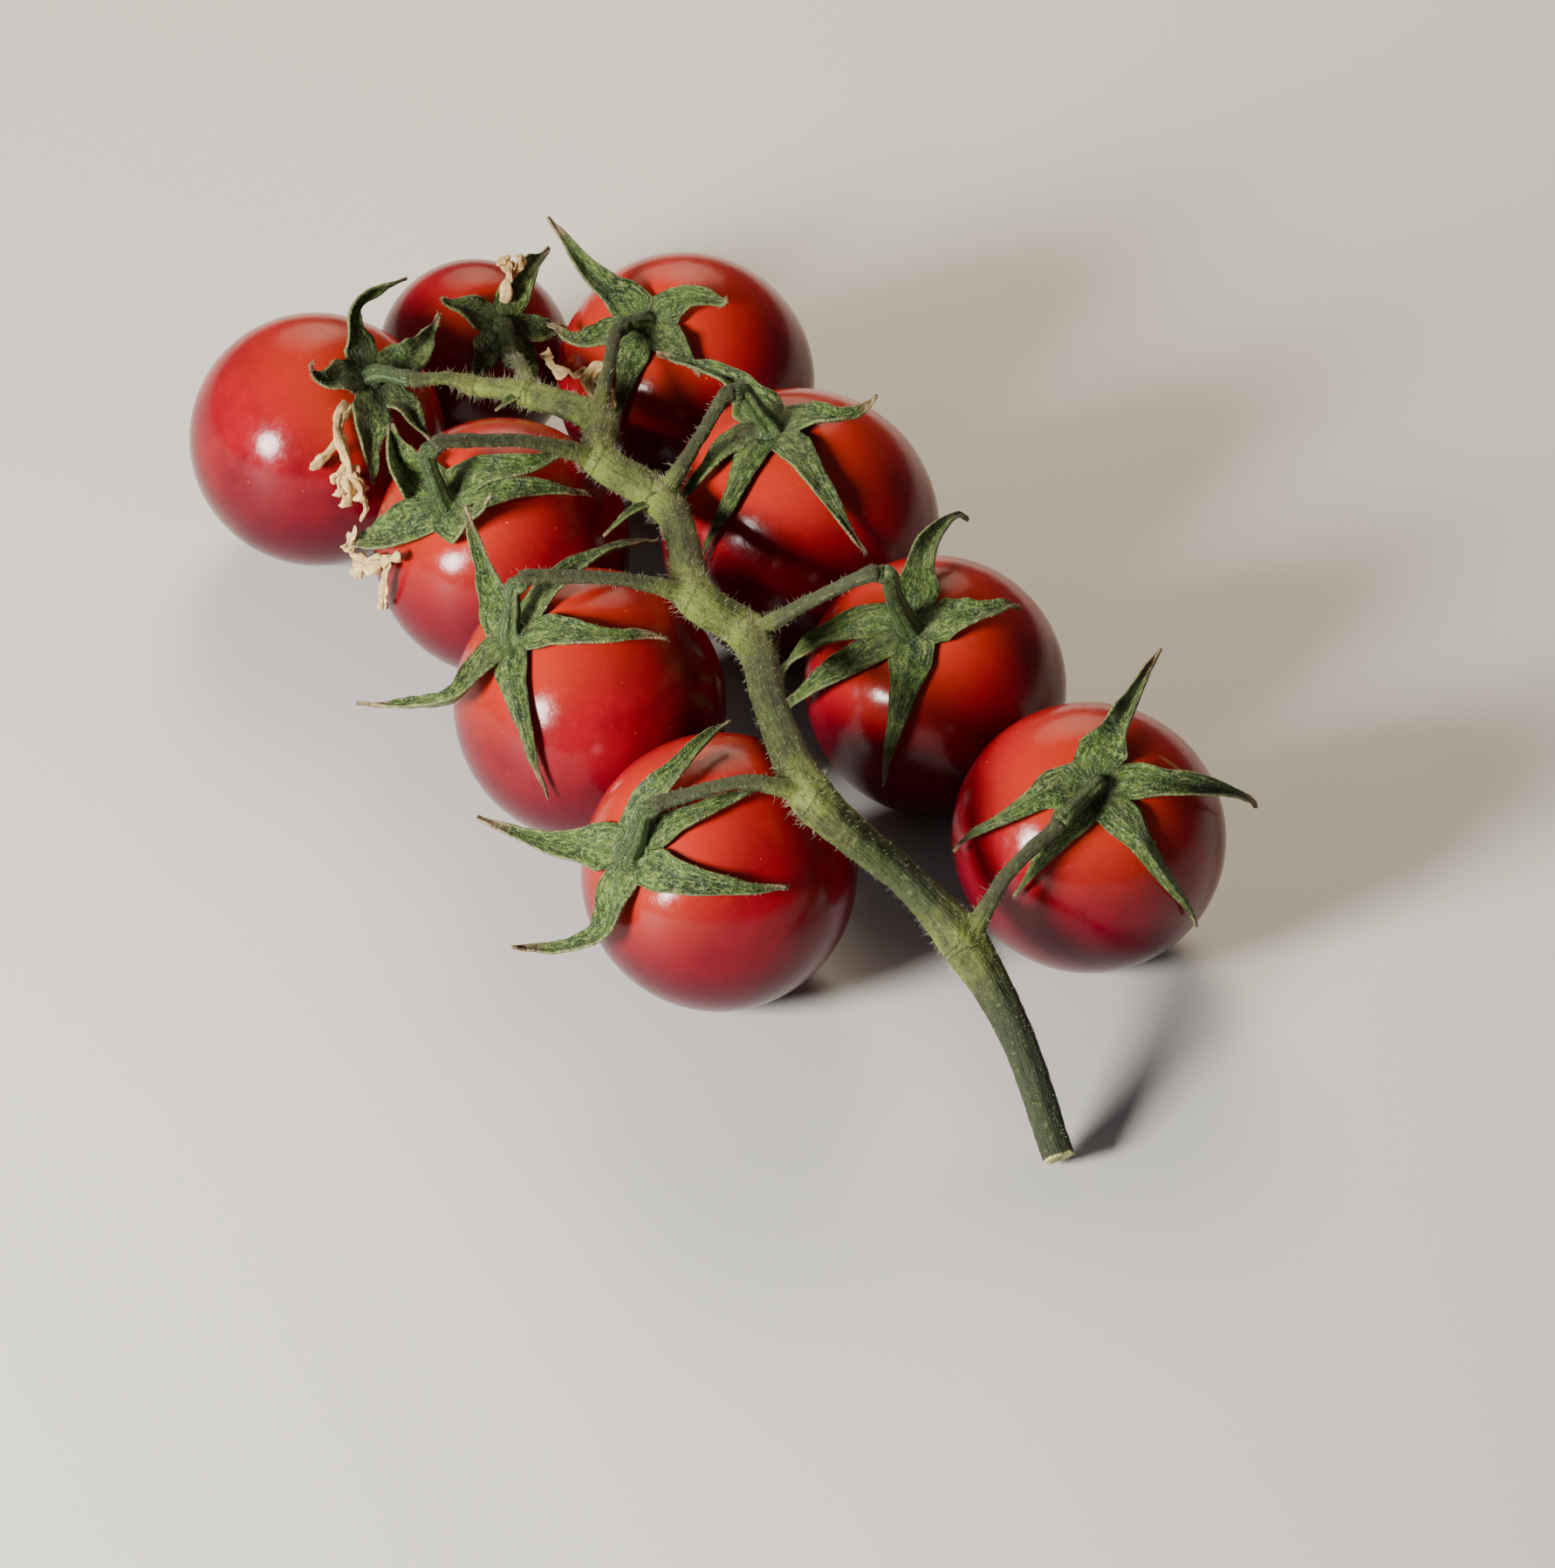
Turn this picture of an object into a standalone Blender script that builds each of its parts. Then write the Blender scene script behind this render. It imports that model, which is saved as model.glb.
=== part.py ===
"""A truss of nine cherry tomatoes, picked whole and lying on its side.

Metres, +Z up. +X runs along the stalk towards its cut end, and the origin is at the middle of the footprint,
on the surface that the truss rests on. The pieces are one branched stalk, and for each fruit the tomato itself
and its calyx, which ends at the knuckle where the fruit breaks off. Four calyxes still hold a withered flower.
"""

from math import cos, exp, pi, radians, sin

import bmesh
import bpy
from mathutils import Matrix, Vector

MM = 0.001

# Fit between pieces
GAP = 0.3 * MM

# Tomatoes
TOMATO_DIAMETER = 30 * MM
FLAT_DEPTH = 0.4 * MM  # how much of the skin the resting spot takes off
DIMPLE_DEPTH = 1.3 * MM
DIMPLE_HALF_ANGLE = radians(17)
TOMATO_SIDES = 22
TOMATO_BANDS = 12

# Calyx
SEPAL_WIDTH = 4.2 * MM
SEPAL_THICKNESS = 0.5 * MM
SEPAL_CREASE = 0.35 * MM
SEPAL_CLEARANCE = 0.65 * MM  # over the skin, at the sepal's edges
SEPAL_LENGTH_SCALE = TOMATO_DIAMETER / (30 * MM)  # the reaches below are for tomatoes of 30 mm
SEPAL_STATIONS = 6
CALYX_EYE = 2.6 * MM  # radius of the disc where the sepals meet

# Stalk
RACHIS_RADIUS = 1.95 * MM
STEM_RADIUS = 0.95 * MM
KNUCKLE_RADIUS = 1.35 * MM
KNUCKLE_LENGTH = 1.2 * MM  # how far it swells, to each side
STEM_FOOT_RADIUS = 1.5 * MM

# Each tomato: its share of the full diameter, and how far and in which direction its stem end leans, in
# degrees.
TOMATOES = {
    1: (0.98, 35, 35),
    2: (0.77, 40, 8),
    3: (1.01, 32, -61),
    4: (1.06, 14, -92),
    5: (0.96, 27, -54),
    6: (0.97, 29, -24),
    7: (0.97, 38, -68),
    8: (1.00, 36, -96),
    9: (0.98, 53, -77),
}

# The first tomato stands by itself, and each other one beside a neighbour: (tomato, neighbour, heading in
# degrees, gap between their skins in mm).
FIRST_TOMATO = 6
NEIGHBOURS = (
    (5, 6, 186, 2.0),
    (4, 5, 184, 0.6),
    (3, 4, 179, 1.8),
    (7, 4, 248, 3.2),
    (8, 7, -5, 1.9),
    (9, 8, 2, 2.1),
    (1, 7, 202, 1.0),
    (2, 1, 116, 1.2),
)

# The main stem, from the cut end: (name, tomato that it rides over, heading and elevation in degrees from that
# tomato's middle, distance from its skin in mm, share of the full radius). It comes down to the surface first.
CUT_END_FROM = (6, -31, 23.0)  # tomato, heading in degrees, distance from its skin in mm, on the surface
CUT_END_SHARE = 0.92
RACHIS = (
    ("foot", 6, -42, -10, 13.8, 1.00),
    ("node_6", 6, -60, 3, 9.0, 1.25),
    ("bend_6", 9, 40, 17, 7.9, 1.05),
    ("node_9", 9, 34, 52, 4.2, 1.20),
    ("over_9", 9, 120, 58, 3.6, 1.00),
    ("node_5", 8, 53, 34, 6.8, 1.15),
    ("node_8", 8, 67, 51, 3.6, 1.15),
    ("over_8", 8, 118, 38, 6.0, 1.00),
    ("node_4", 4, -84, 31, 4.8, 1.10),
    ("node_7", 7, 52, 50, 3.7, 1.05),
    ("node_3", 7, 98, 44, 3.5, 0.95),
    ("node_2", 7, 141, 46, 3.1, 0.80),
    ("last", 7, 169, 41, 4.4, 0.60),
)

# Stems: the tomato, where its stem leaves the main stem, its knuckle as height over the skin and offset to the
# side in mm with the heading in degrees, and how far the stem arches up between them, in mm.
STEMS = {
    1: ("last", 3.6, 3.2, 36, 0.6),
    2: ("node_2", 2.2, 4.6, -19, 2.0),
    3: ("node_3", 2.8, 2.8, -69, 1.0),
    4: ("node_4", 6.0, 2.6, -99, 0.8),
    5: ("node_5", 11.5, 0.8, -113, 1.0),
    6: ("node_6", 1.6, 6.0, -64, 2.2),
    7: ("node_7", 6.8, 3.9, 107, 1.8),
    8: ("node_8", 3.4, 4.8, 96, 1.6),
    9: ("node_9", 1.8, 6.0, 88, 2.6),
}

# Bracts, the small pointed leaves on the main stem: where, heading in degrees, length and drop in mm.
BRACTS = (
    ("node_4", -80, 8.0, 1.5),
    ("node_2", -84, 4.5, 0.5),
)
BRACT_RADIUS = 0.8 * MM
BRACT_TIP_RADIUS = 0.15 * MM

# Calyxes: its sepals' share of the full width, its first sepal's heading in degrees, then for each sepal in
# turn its tip's heading in degrees, its reach from the stem and its tip's lift off the skin in mm.
CALYXES = {
    1: (0.95, 40, ((31, 9, 0.3), (125, 12, 3.2), (150, 12, 5.0), (265, 8, 2.4), (352, 11, 0.3))),
    2: (0.75, 10, ((14, 8, 0.3), (80, 8, 0.4), (133, 12, 2.4), (239, 7, 1.8), (317, 8, 0.3))),
    3: (0.95, 10, ((12, 9, 0.3), (72, 9, 2.6), (189, 11, 9.0), (232, 10, 2.4), (308, 13, 0.3))),
    4: (1.00, 20, ((8, 19, 0.3), (68, 11, 2.6), (200, 12, 8.0), (271, 14, 0.4), (295, 18, 0.3))),
    5: (1.00, 50, ((65, 12, 2.0), (133, 16, 5.0), (238, 20, 2.0), (262, 19, 2.6), (313, 18, 0.3))),
    6: (1.00, 5, ((20, 20, 0.4), (72, 20, 2.6), (134, 16, 5.6), (261, 17, 1.4), (297, 14, 0.2))),
    7: (1.00, 345, ((5, 8, 1.4), (60, 15, 0.4), (84, 15, 0.8), (178, 7, 4.6), (243, 16, 0.6))),
    8: (1.00, 35, ((53, 17, 1.0), (109, 19, 3.2), (163, 11, 8.5), (244, 14, 8.5), (325, 19, 0.3))),
    9: (1.00, 0, ((30, 17, 0.6), (74, 16, 0.3), (112, 17, 1.8), (213, 13, 9.0), (259, 15, 7.0))),
}

# Withered flowers: tomato, then (heading in degrees, reach from the stem and lift off the skin in mm) along it.
FLOWERS = {
    1: ((-48, 8.0, 1.0), (-45, 11.0, 1.8), (-42, 14.0, 1.4), (-30, 16.5, 1.0)),
    2: ((194, 5.0, 1.8), (178, 7.0, 2.2), (164, 9.0, 2.8), (156, 11.0, 3.2)),
    3: ((-82, 9.0, 1.0), (-90, 11.5, 1.6), (-100, 13.5, 2.0), (-96, 15.5, 1.2)),
    7: ((-80, 9.0, 1.0), (-78, 12.5, 1.8), (-82, 16.0, 1.6), (-80, 20.0, 1.0)),
}
FLOWER_WIDTH = 2.6 * MM
FLOWER_THICKNESS = 0.7 * MM

COLOURS = {
    "tomato_skin": ((0.62, 0.035, 0.012), 0.22),
    "sepal_green": ((0.10, 0.17, 0.03), 0.70),
    "stalk_green": ((0.17, 0.24, 0.06), 0.65),
    "withered_cream": ((0.55, 0.42, 0.24), 0.85),
}


def clear_scene():
    for obj in list(bpy.data.objects):
        bpy.data.objects.remove(obj, do_unlink=True)


def collection(name):
    made = bpy.data.collections.new(name)
    bpy.context.scene.collection.children.link(made)
    return made


def material(name):
    colour, roughness = COLOURS[name]
    made = bpy.data.materials.new(name)
    made.use_nodes = True
    shader = made.node_tree.nodes["Principled BSDF"]
    shader.inputs["Base Color"].default_value = (*colour, 1)
    shader.inputs["Roughness"].default_value = roughness
    shader.inputs["Metallic"].default_value = 0
    return made


def add_object(name, data, parent, where, look=None):
    made = bpy.data.objects.new(name, data)
    made.parent = parent
    where.objects.link(made)
    if look:
        data.materials.append(look)
        data.shade_smooth()
        data.set_sharp_from_angle(angle=radians(50))
    return made


def make_guide(obj):
    """Leaves an object out of the model: it only shapes another one."""
    obj.hide_render = True
    obj.display_type = "WIRE"


def combine(obj, operand, operation):
    boolean = obj.modifiers.new(operand.name, "BOOLEAN")
    boolean.operation = operation
    boolean.object = operand
    boolean.solver = "EXACT"
    boolean.use_self = operation == "UNION"


def join(obj, operand):
    make_guide(operand)
    combine(obj, operand, "UNION")


# Where things are


def direction(heading, elevation=0.0):
    """A unit vector from angles in degrees."""
    across = cos(radians(elevation))
    return Vector((cos(radians(heading)) * across, sin(radians(heading)) * across, sin(radians(elevation))))


def tomato_radius(number):
    return TOMATO_DIAMETER / 2 * TOMATOES[number][0]


def tomato_middles():
    """Each tomato's middle: every one rests on the surface, beside the neighbour that it was placed from."""
    middles = {FIRST_TOMATO: Vector((0, 0, tomato_radius(FIRST_TOMATO) - FLAT_DEPTH))}
    for number, neighbour, heading, gap in NEIGHBOURS:
        radius, other = tomato_radius(number), tomato_radius(neighbour)
        apart = ((radius + other + gap * MM) ** 2 - (radius - other) ** 2) ** 0.5
        middle = middles[neighbour] + direction(heading) * apart
        middle.z = radius - FLAT_DEPTH
        middles[number] = middle
    return middles


def tomato_frame(number, middles):
    """The tomato's own axes: its stem end is up its Z axis, and its X axis stays near to the truss's."""
    _, lean, heading = TOMATOES[number]
    towards = Matrix.Rotation(radians(heading), 4, "Z")
    tip = Matrix.Rotation(radians(lean), 4, "Y")
    return Matrix.Translation(middles[number]) @ towards @ tip @ towards.inverted()


def skin_radius(radius, polar):
    """From the tomato's middle to its skin: a sphere with a dimple round the stem."""
    return radius - DIMPLE_DEPTH * exp(-((polar / DIMPLE_HALF_ANGLE) ** 2))


def over_skin(radius, heading, reach, lift):
    """A point in the tomato's own axes, reach along the skin from the stem and lift off it, all in metres."""
    polar = reach / radius
    distance = skin_radius(radius, polar) + lift
    side = distance * sin(polar)
    return Vector((side * cos(radians(heading)), side * sin(radians(heading)), distance * cos(polar)))


def rachis_route(middles):
    """(name, point, radius) along the main stem, from its cut end."""
    number, heading, distance = CUT_END_FROM
    end = middles[number] + direction(heading) * (tomato_radius(number) + distance * MM)
    end_radius = RACHIS_RADIUS * CUT_END_SHARE
    end.z = end_radius * 0.85 + GAP
    route = [("cut_end", end, end_radius)]
    for name, number, heading, elevation, clearance, share in RACHIS:
        distance = tomato_radius(number) + clearance * MM
        point = middles[number] + direction(heading, elevation) * distance
        route.append((name, point, RACHIS_RADIUS * share))
    return route


def calyx_stem_route(number):
    """The calyx's short stem in the tomato's own axes: its foot, its bend and the knuckle."""
    _, height, offset, heading, _ = STEMS[number]
    radius = tomato_radius(number)
    foot = Vector((0, 0, skin_radius(radius, 0) + SEPAL_CLEARANCE + SEPAL_CREASE + SEPAL_THICKNESS / 2))
    top = direction(heading) * offset * MM + Vector((0, 0, radius + height * MM))
    bend = Vector((top.x * 0.3, top.y * 0.3, foot.z + (top.z - foot.z) * 0.55))
    return foot, bend, top


def knuckle(number, frame, start):
    """Where the stem from the main stem meets the calyx's, and the direction that both have there."""
    _, bend, top = calyx_stem_route(number)
    place = frame @ top
    onward = (frame @ bend - place).normalized()
    inward = (place - start).normalized()
    return place, (onward + inward).normalized()


# Shapes


def tube(name, route, steps, parent, where):
    """A mesh tube with closed ends, along a smooth curve through (point, radius) pairs."""
    curve = bpy.data.curves.new(name, "CURVE")
    curve.dimensions = "3D"
    curve.bevel_depth = 1
    curve.bevel_resolution = 2
    curve.resolution_u = steps
    curve.use_fill_caps = True
    spline = curve.splines.new("BEZIER")
    spline.bezier_points.add(len(route) - 1)
    for point, (place, radius) in zip(spline.bezier_points, route, strict=True):
        point.co = place
        point.radius = radius
        point.handle_left_type = point.handle_right_type = "AUTO"
    drawn = bpy.data.objects.new(name + "_curve", curve)
    where.objects.link(drawn)
    evaluated = drawn.evaluated_get(bpy.context.evaluated_depsgraph_get())
    mesh = bpy.data.meshes.new_from_object(evaluated)
    bpy.data.objects.remove(drawn, do_unlink=True)
    welded = bmesh.new()
    welded.from_mesh(mesh)
    bmesh.ops.remove_doubles(welded, verts=welded.verts, dist=1e-6)
    welded.to_mesh(mesh)
    welded.free()
    mesh.name = name
    return add_object(name, mesh, parent, where)


def tomato(number, frame_empty, where, floor, look):
    """A turned body with its underside cut flat where it rests."""
    radius = tomato_radius(number)
    profile = bmesh.new()
    previous = None
    for band in range(TOMATO_BANDS + 1):
        polar = pi * band / TOMATO_BANDS
        distance = skin_radius(radius, polar)
        side = distance * sin(polar) if 0 < band < TOMATO_BANDS else 0
        vertex = profile.verts.new((side, 0, distance * cos(polar)))
        if previous:
            profile.edges.new((previous, vertex))
        previous = vertex
    mesh = bpy.data.meshes.new(f"tomato_{number}")
    profile.to_mesh(mesh)
    profile.free()
    body = add_object(f"tomato_{number}", mesh, frame_empty, where, look)
    screw = body.modifiers.new("turned", "SCREW")
    screw.steps = screw.render_steps = TOMATO_SIDES
    screw.use_merge_vertices = True
    screw.merge_threshold = 1e-5
    screw.use_smooth_shade = True
    combine(body, floor, "DIFFERENCE")
    return body


def sepal_width(share, along):
    """A sepal's width from its root, along = 0, to its tip, along = 1: widest a third of the way out."""
    return SEPAL_WIDTH * share * (0.72 + 1.1 * along) * (1 - along) ** 0.8


def sepal_point(radius, share, root, spec, along, across):
    """A point on a sepal: along from root to tip, and across from -1 to 1 over its width."""
    tip_heading, reach, lift = spec
    swing = (tip_heading - root + 180) % 360 - 180
    eased = along * (2 - along)
    length = CALYX_EYE + (reach * MM * SEPAL_LENGTH_SCALE - CALYX_EYE) * along
    off = SEPAL_CLEARANCE + lift * MM * along**1.5
    heading = root + swing * eased
    spread = sepal_width(share, along) / 2 * across
    turned = heading + spread / max(radius * sin(min(length / radius, pi / 2)), MM) * 180 / pi
    return over_skin(radius, turned, length, off + SEPAL_CREASE * (1 - abs(across)) * (1 - along))


def calyx(number, frame_empty, frame, start, where, guides, look):
    """Five sepals round a disc, thickened, with the short stem that runs up to the knuckle."""
    radius = tomato_radius(number)
    share, first, specs = CALYXES[number]
    star = bmesh.new()
    middle = star.verts.new(over_skin(radius, 0, 0, SEPAL_CLEARANCE + SEPAL_CREASE))
    turn = 360 / len(specs)
    valley_lift = SEPAL_CLEARANCE + SEPAL_CREASE / 2
    valleys = [
        star.verts.new(over_skin(radius, first + turn * (place - 0.5), CALYX_EYE * 0.8, valley_lift))
        for place in range(len(specs))
    ]
    for place, spec in enumerate(specs):
        root = first + turn * place
        rows = []
        for station in range(SEPAL_STATIONS):
            along = station / SEPAL_STATIONS
            points = [sepal_point(radius, share, root, spec, along, side) for side in (-1, 0, 1)]
            rows.append([star.verts.new(point) for point in points])
        tip = star.verts.new(sepal_point(radius, share, root, spec, 1, 0))
        rim = [valleys[place], *rows[0], valleys[(place + 1) % len(specs)]]
        for near, far in zip(rim, rim[1:]):
            star.faces.new((middle, near, far))
        for inner, outer in zip(rows, rows[1:]):
            for side in (0, 1):
                star.faces.new((inner[side], outer[side], outer[side + 1], inner[side + 1]))
        for side in (0, 1):
            star.faces.new((rows[-1][side], tip, rows[-1][side + 1]))
    mesh = bpy.data.meshes.new(f"calyx_{number}")
    star.to_mesh(mesh)
    star.free()
    body = add_object(f"calyx_{number}", mesh, frame_empty, where, look)
    thick = body.modifiers.new("thickness", "SOLIDIFY")
    thick.thickness = SEPAL_THICKNESS
    thick.offset = 1
    foot, bend, top = calyx_stem_route(number)
    _, through = knuckle(number, frame, start)
    through = frame.to_3x3().inverted() @ through
    route = [
        (foot, STEM_FOOT_RADIUS),
        (foot + Vector((0, 0, STEM_RADIUS)), STEM_RADIUS * 1.2),
        (bend, STEM_RADIUS),
        (top + through * KNUCKLE_LENGTH, KNUCKLE_RADIUS * 0.9),
        (top + through * GAP / 2, KNUCKLE_RADIUS),
    ]
    stem = tube(f"calyx_stem_{number}", route, 2, frame_empty, guides)
    join(body, stem)
    return body


def stalk(middles, frames, parent, where, guides, look):
    """The main stem, joined with a stem for each tomato."""
    route = rachis_route(middles)
    places = {name: point for name, point, _ in route}
    main = tube("stalk", [(point, radius) for _, point, radius in route], 3, parent, where)
    main.data.materials.append(look)
    main.data.shade_smooth()
    for number, (node, _, _, _, arch) in STEMS.items():
        start = places[node]
        end, through = knuckle(number, frames[number], start)
        crest = start.lerp(end, 0.5) + Vector((0, 0, arch * MM))
        route = [
            (start, STEM_RADIUS * 1.2),
            (crest, STEM_RADIUS),
            (end - through * KNUCKLE_LENGTH, KNUCKLE_RADIUS * 0.9),
            (end - through * GAP / 2, KNUCKLE_RADIUS),
        ]
        join(main, tube(f"stem_{number}", route, 3, parent, guides))
    for node, heading, length, drop in BRACTS:
        start = places[node]
        tip = start + direction(heading) * length * MM - Vector((0, 0, drop * MM))
        half_way = start.lerp(tip, 0.5) + Vector((0, 0, drop * MM / 2))
        route = [(start, BRACT_RADIUS), (half_way, BRACT_RADIUS), (tip, BRACT_TIP_RADIUS)]
        join(main, tube(f"bract_{node}", route, 2, parent, guides))
    return main


def flower(number, frame_empty, where, look):
    """A withered flower: a crumpled strip that lies over the skin."""
    radius = tomato_radius(number)
    strip = bmesh.new()
    rows = []
    stations = FLOWERS[number]
    for place, (heading, reach, lift) in enumerate(stations):
        narrowing = 0.55 + 0.45 * sin(pi * (place + 0.5) / len(stations))
        spread = FLOWER_WIDTH / 2 * narrowing
        row = []
        for side in (-1, 0, 1):
            turned = heading + side * spread / (radius * sin(reach * MM / radius)) * 180 / pi
            off = lift * MM + (1 - abs(side)) * MM / 2
            row.append(strip.verts.new(over_skin(radius, turned, reach * MM, off)))
        rows.append(row)
    for inner, outer in zip(rows, rows[1:]):
        for side in (0, 1):
            strip.faces.new((inner[side], outer[side], outer[side + 1], inner[side + 1]))
    mesh = bpy.data.meshes.new(f"withered_flower_{number}")
    strip.to_mesh(mesh)
    strip.free()
    body = add_object(f"withered_flower_{number}", mesh, frame_empty, where, look)
    thick = body.modifiers.new("thickness", "SOLIDIFY")
    thick.thickness = FLOWER_THICKNESS
    thick.offset = 1
    return body


def floor_slab(parent, guides):
    """The surface that the truss rests on, as a cutter for the flat spots."""
    bpy.ops.mesh.primitive_cube_add(size=1)
    slab = bpy.context.object
    slab.name = "floor_slab"
    for user in list(slab.users_collection):
        user.objects.unlink(slab)
    guides.objects.link(slab)
    slab.parent = parent
    slab.scale = (0.6, 0.6, 0.02)
    slab.location = (0, 0, -slab.scale.z / 2)
    make_guide(slab)
    return slab


def centre(parent, pieces):
    """Moves the truss so that the origin is at the middle of its footprint."""
    bpy.context.view_layer.update()
    graph = bpy.context.evaluated_depsgraph_get()
    points = []
    for piece in pieces:
        evaluated = piece.evaluated_get(graph)
        mesh = evaluated.to_mesh()
        points += [evaluated.matrix_world @ vertex.co for vertex in mesh.vertices]
        evaluated.to_mesh_clear()
    for axis in (0, 1):
        values = [point[axis] for point in points]
        parent.location[axis] -= (min(values) + max(values)) / 2


def main():
    clear_scene()
    where = collection("cherry_tomato_truss")
    guides = collection("guides")
    looks = {name: material(name) for name in COLOURS}
    truss = bpy.data.objects.new("truss", None)
    where.objects.link(truss)
    floor = floor_slab(truss, guides)
    middles = tomato_middles()
    frames = {number: tomato_frame(number, middles) for number in TOMATOES}
    places = {name: point for name, point, _ in rachis_route(middles)}
    pieces = [stalk(middles, frames, truss, where, guides, looks["stalk_green"])]
    for number, frame in frames.items():
        empty = bpy.data.objects.new(f"fruit_frame_{number}", None)
        empty.parent = truss
        empty.matrix_local = frame
        where.objects.link(empty)
        pieces.append(tomato(number, empty, where, floor, looks["tomato_skin"]))
        start = places[STEMS[number][0]]
        pieces.append(calyx(number, empty, frame, start, where, guides, looks["sepal_green"]))
        if number in FLOWERS:
            pieces.append(flower(number, empty, where, looks["withered_cream"]))
    centre(truss, pieces)


main()
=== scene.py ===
"""The looks of a truss of nine cherry tomatoes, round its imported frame. Metres, +Z up.

Every piece is built in the row frame, with its object at the origin. The numbers that place the fruits' stem
ends, the stalk and the sepals are the model's own, repeated here, and the fruits' middles come from the frame.
"""

import random
from math import atan2, cos, degrees, exp, pi, radians, sin

import bmesh
import bpy
import numpy as np
from mathutils import Matrix, Vector, kdtree, noise


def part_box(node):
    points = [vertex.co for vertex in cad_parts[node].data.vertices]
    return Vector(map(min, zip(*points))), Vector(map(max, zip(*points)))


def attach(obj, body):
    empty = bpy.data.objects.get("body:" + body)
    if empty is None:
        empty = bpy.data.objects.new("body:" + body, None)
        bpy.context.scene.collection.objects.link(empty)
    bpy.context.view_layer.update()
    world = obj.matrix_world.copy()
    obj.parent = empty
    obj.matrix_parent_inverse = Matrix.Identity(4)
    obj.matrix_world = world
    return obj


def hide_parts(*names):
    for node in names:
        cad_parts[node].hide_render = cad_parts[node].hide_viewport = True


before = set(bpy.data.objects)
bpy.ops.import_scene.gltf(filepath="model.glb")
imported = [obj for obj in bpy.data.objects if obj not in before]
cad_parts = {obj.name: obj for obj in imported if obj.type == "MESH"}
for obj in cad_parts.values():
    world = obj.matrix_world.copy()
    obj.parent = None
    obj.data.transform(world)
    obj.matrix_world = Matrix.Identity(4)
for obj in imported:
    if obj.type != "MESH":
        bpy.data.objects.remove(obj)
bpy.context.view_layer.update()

MM = 0.001

# Camera, fitted to the nine fruits' outlines: angles in degrees, distances in metres
CAMERA_AZIMUTH = 65.24
CAMERA_ELEVATION = 38.66
CAMERA_DISTANCE = 0.7
CAMERA_TARGET = Vector((8.0 * MM, 4.3 * MM, 0))
CAMERA_LENS = 144.4

# The back light's rings, together a light that fades to its rim: name, size in metres and power in watts.
BACK_LIGHTS = (("back_outer", 0.62, 1.6), ("back_middle", 0.44, 2.4), ("back_inner", 0.28, 3.5))

# Tomatoes: share of the full diameter, and how far and in which direction the stem end leans, in degrees.
FULL_RADIUS = 15 * MM
FLAT_DEPTH = 0.4 * MM
DIMPLE_DEPTH = 1.3 * MM
DIMPLE_HALF_ANGLE = radians(17)
TOMATOES = {
    1: (0.98, 35, 35),
    2: (0.77, 40, 8),
    3: (1.01, 32, -61),
    4: (1.06, 14, -92),
    5: (0.96, 27, -54),
    6: (0.97, 29, -24),
    7: (0.97, 38, -68),
    8: (1.00, 36, -96),
    9: (0.98, 53, -77),
}
# A thin corky line on the sixth tomato: its middle, direction and half sizes.
CORK_MIDDLE = Vector((52.0, 30.2, 25.5)) * MM
CORK_ALONG = Vector((2.8, 3.8, -3.8))
CORK_SIZE = Vector((3.2, 0.34, 1.2)) * MM
SKIN_SIDES = 84
SKIN_RINGS = 60

# The main stem, from the cut end: name, tomato that it rides over, heading and elevation in degrees from that
# tomato's middle, distance from its skin in mm, share of the full radius.
RACHIS_RADIUS = 1.95 * MM
CUT_END_FROM = (6, -31, 23.0)
CUT_END_SHARE = 0.92
RACHIS = (
    ("foot", 6, -42, -10, 13.8, 1.00),
    ("node_6", 6, -60, 3, 9.0, 1.25),
    ("bend_6", 9, 40, 17, 7.9, 1.05),
    ("node_9", 9, 34, 52, 4.2, 1.20),
    ("over_9", 9, 120, 58, 3.6, 1.00),
    ("node_5", 8, 53, 34, 6.8, 1.15),
    ("node_8", 8, 67, 51, 3.6, 1.15),
    ("over_8", 8, 118, 38, 6.0, 1.00),
    ("node_4", 4, -84, 31, 4.8, 1.10),
    ("node_7", 7, 52, 50, 3.7, 1.05),
    ("node_3", 7, 98, 44, 3.5, 0.95),
    ("node_2", 7, 141, 46, 3.1, 0.80),
    ("last", 7, 169, 41, 4.4, 0.60),
)

# Stems: where the stem leaves the main stem, its knuckle's height over the full radius and offset to the side in
# mm with the heading in degrees, and how far it arches up, in mm.
STEMS = {
    1: ("last", 3.6, 3.2, 36, 0.6),
    2: ("node_2", 2.2, 4.6, -19, 2.0),
    3: ("node_3", 2.8, 2.8, -69, 1.0),
    4: ("node_4", 6.0, 2.6, -99, 0.8),
    5: ("node_5", 11.5, 0.8, -113, 1.0),
    6: ("node_6", 1.6, 6.0, -64, 2.2),
    7: ("node_7", 6.8, 3.9, 107, 1.8),
    8: ("node_8", 3.4, 4.8, 96, 1.6),
    9: ("node_9", 1.8, 6.0, 88, 2.6),
}
STEM_RADIUS = 0.95 * MM
KNUCKLE_RADIUS = 1.35 * MM
KNUCKLE_LENGTH = 1.2 * MM
STEM_FEET = {1: 1.3, 2: 1.2, 3: 1.3, 4: 1.7, 5: 1.6, 6: 1.15, 7: 1.4, 8: 1.6, 9: 2.1}

# Bracts: where, heading in degrees, length and drop in mm.
BRACTS = (
    ("node_4", -80, 8.0, 1.5),
    ("node_2", -84, 4.5, 0.5),
)

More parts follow.
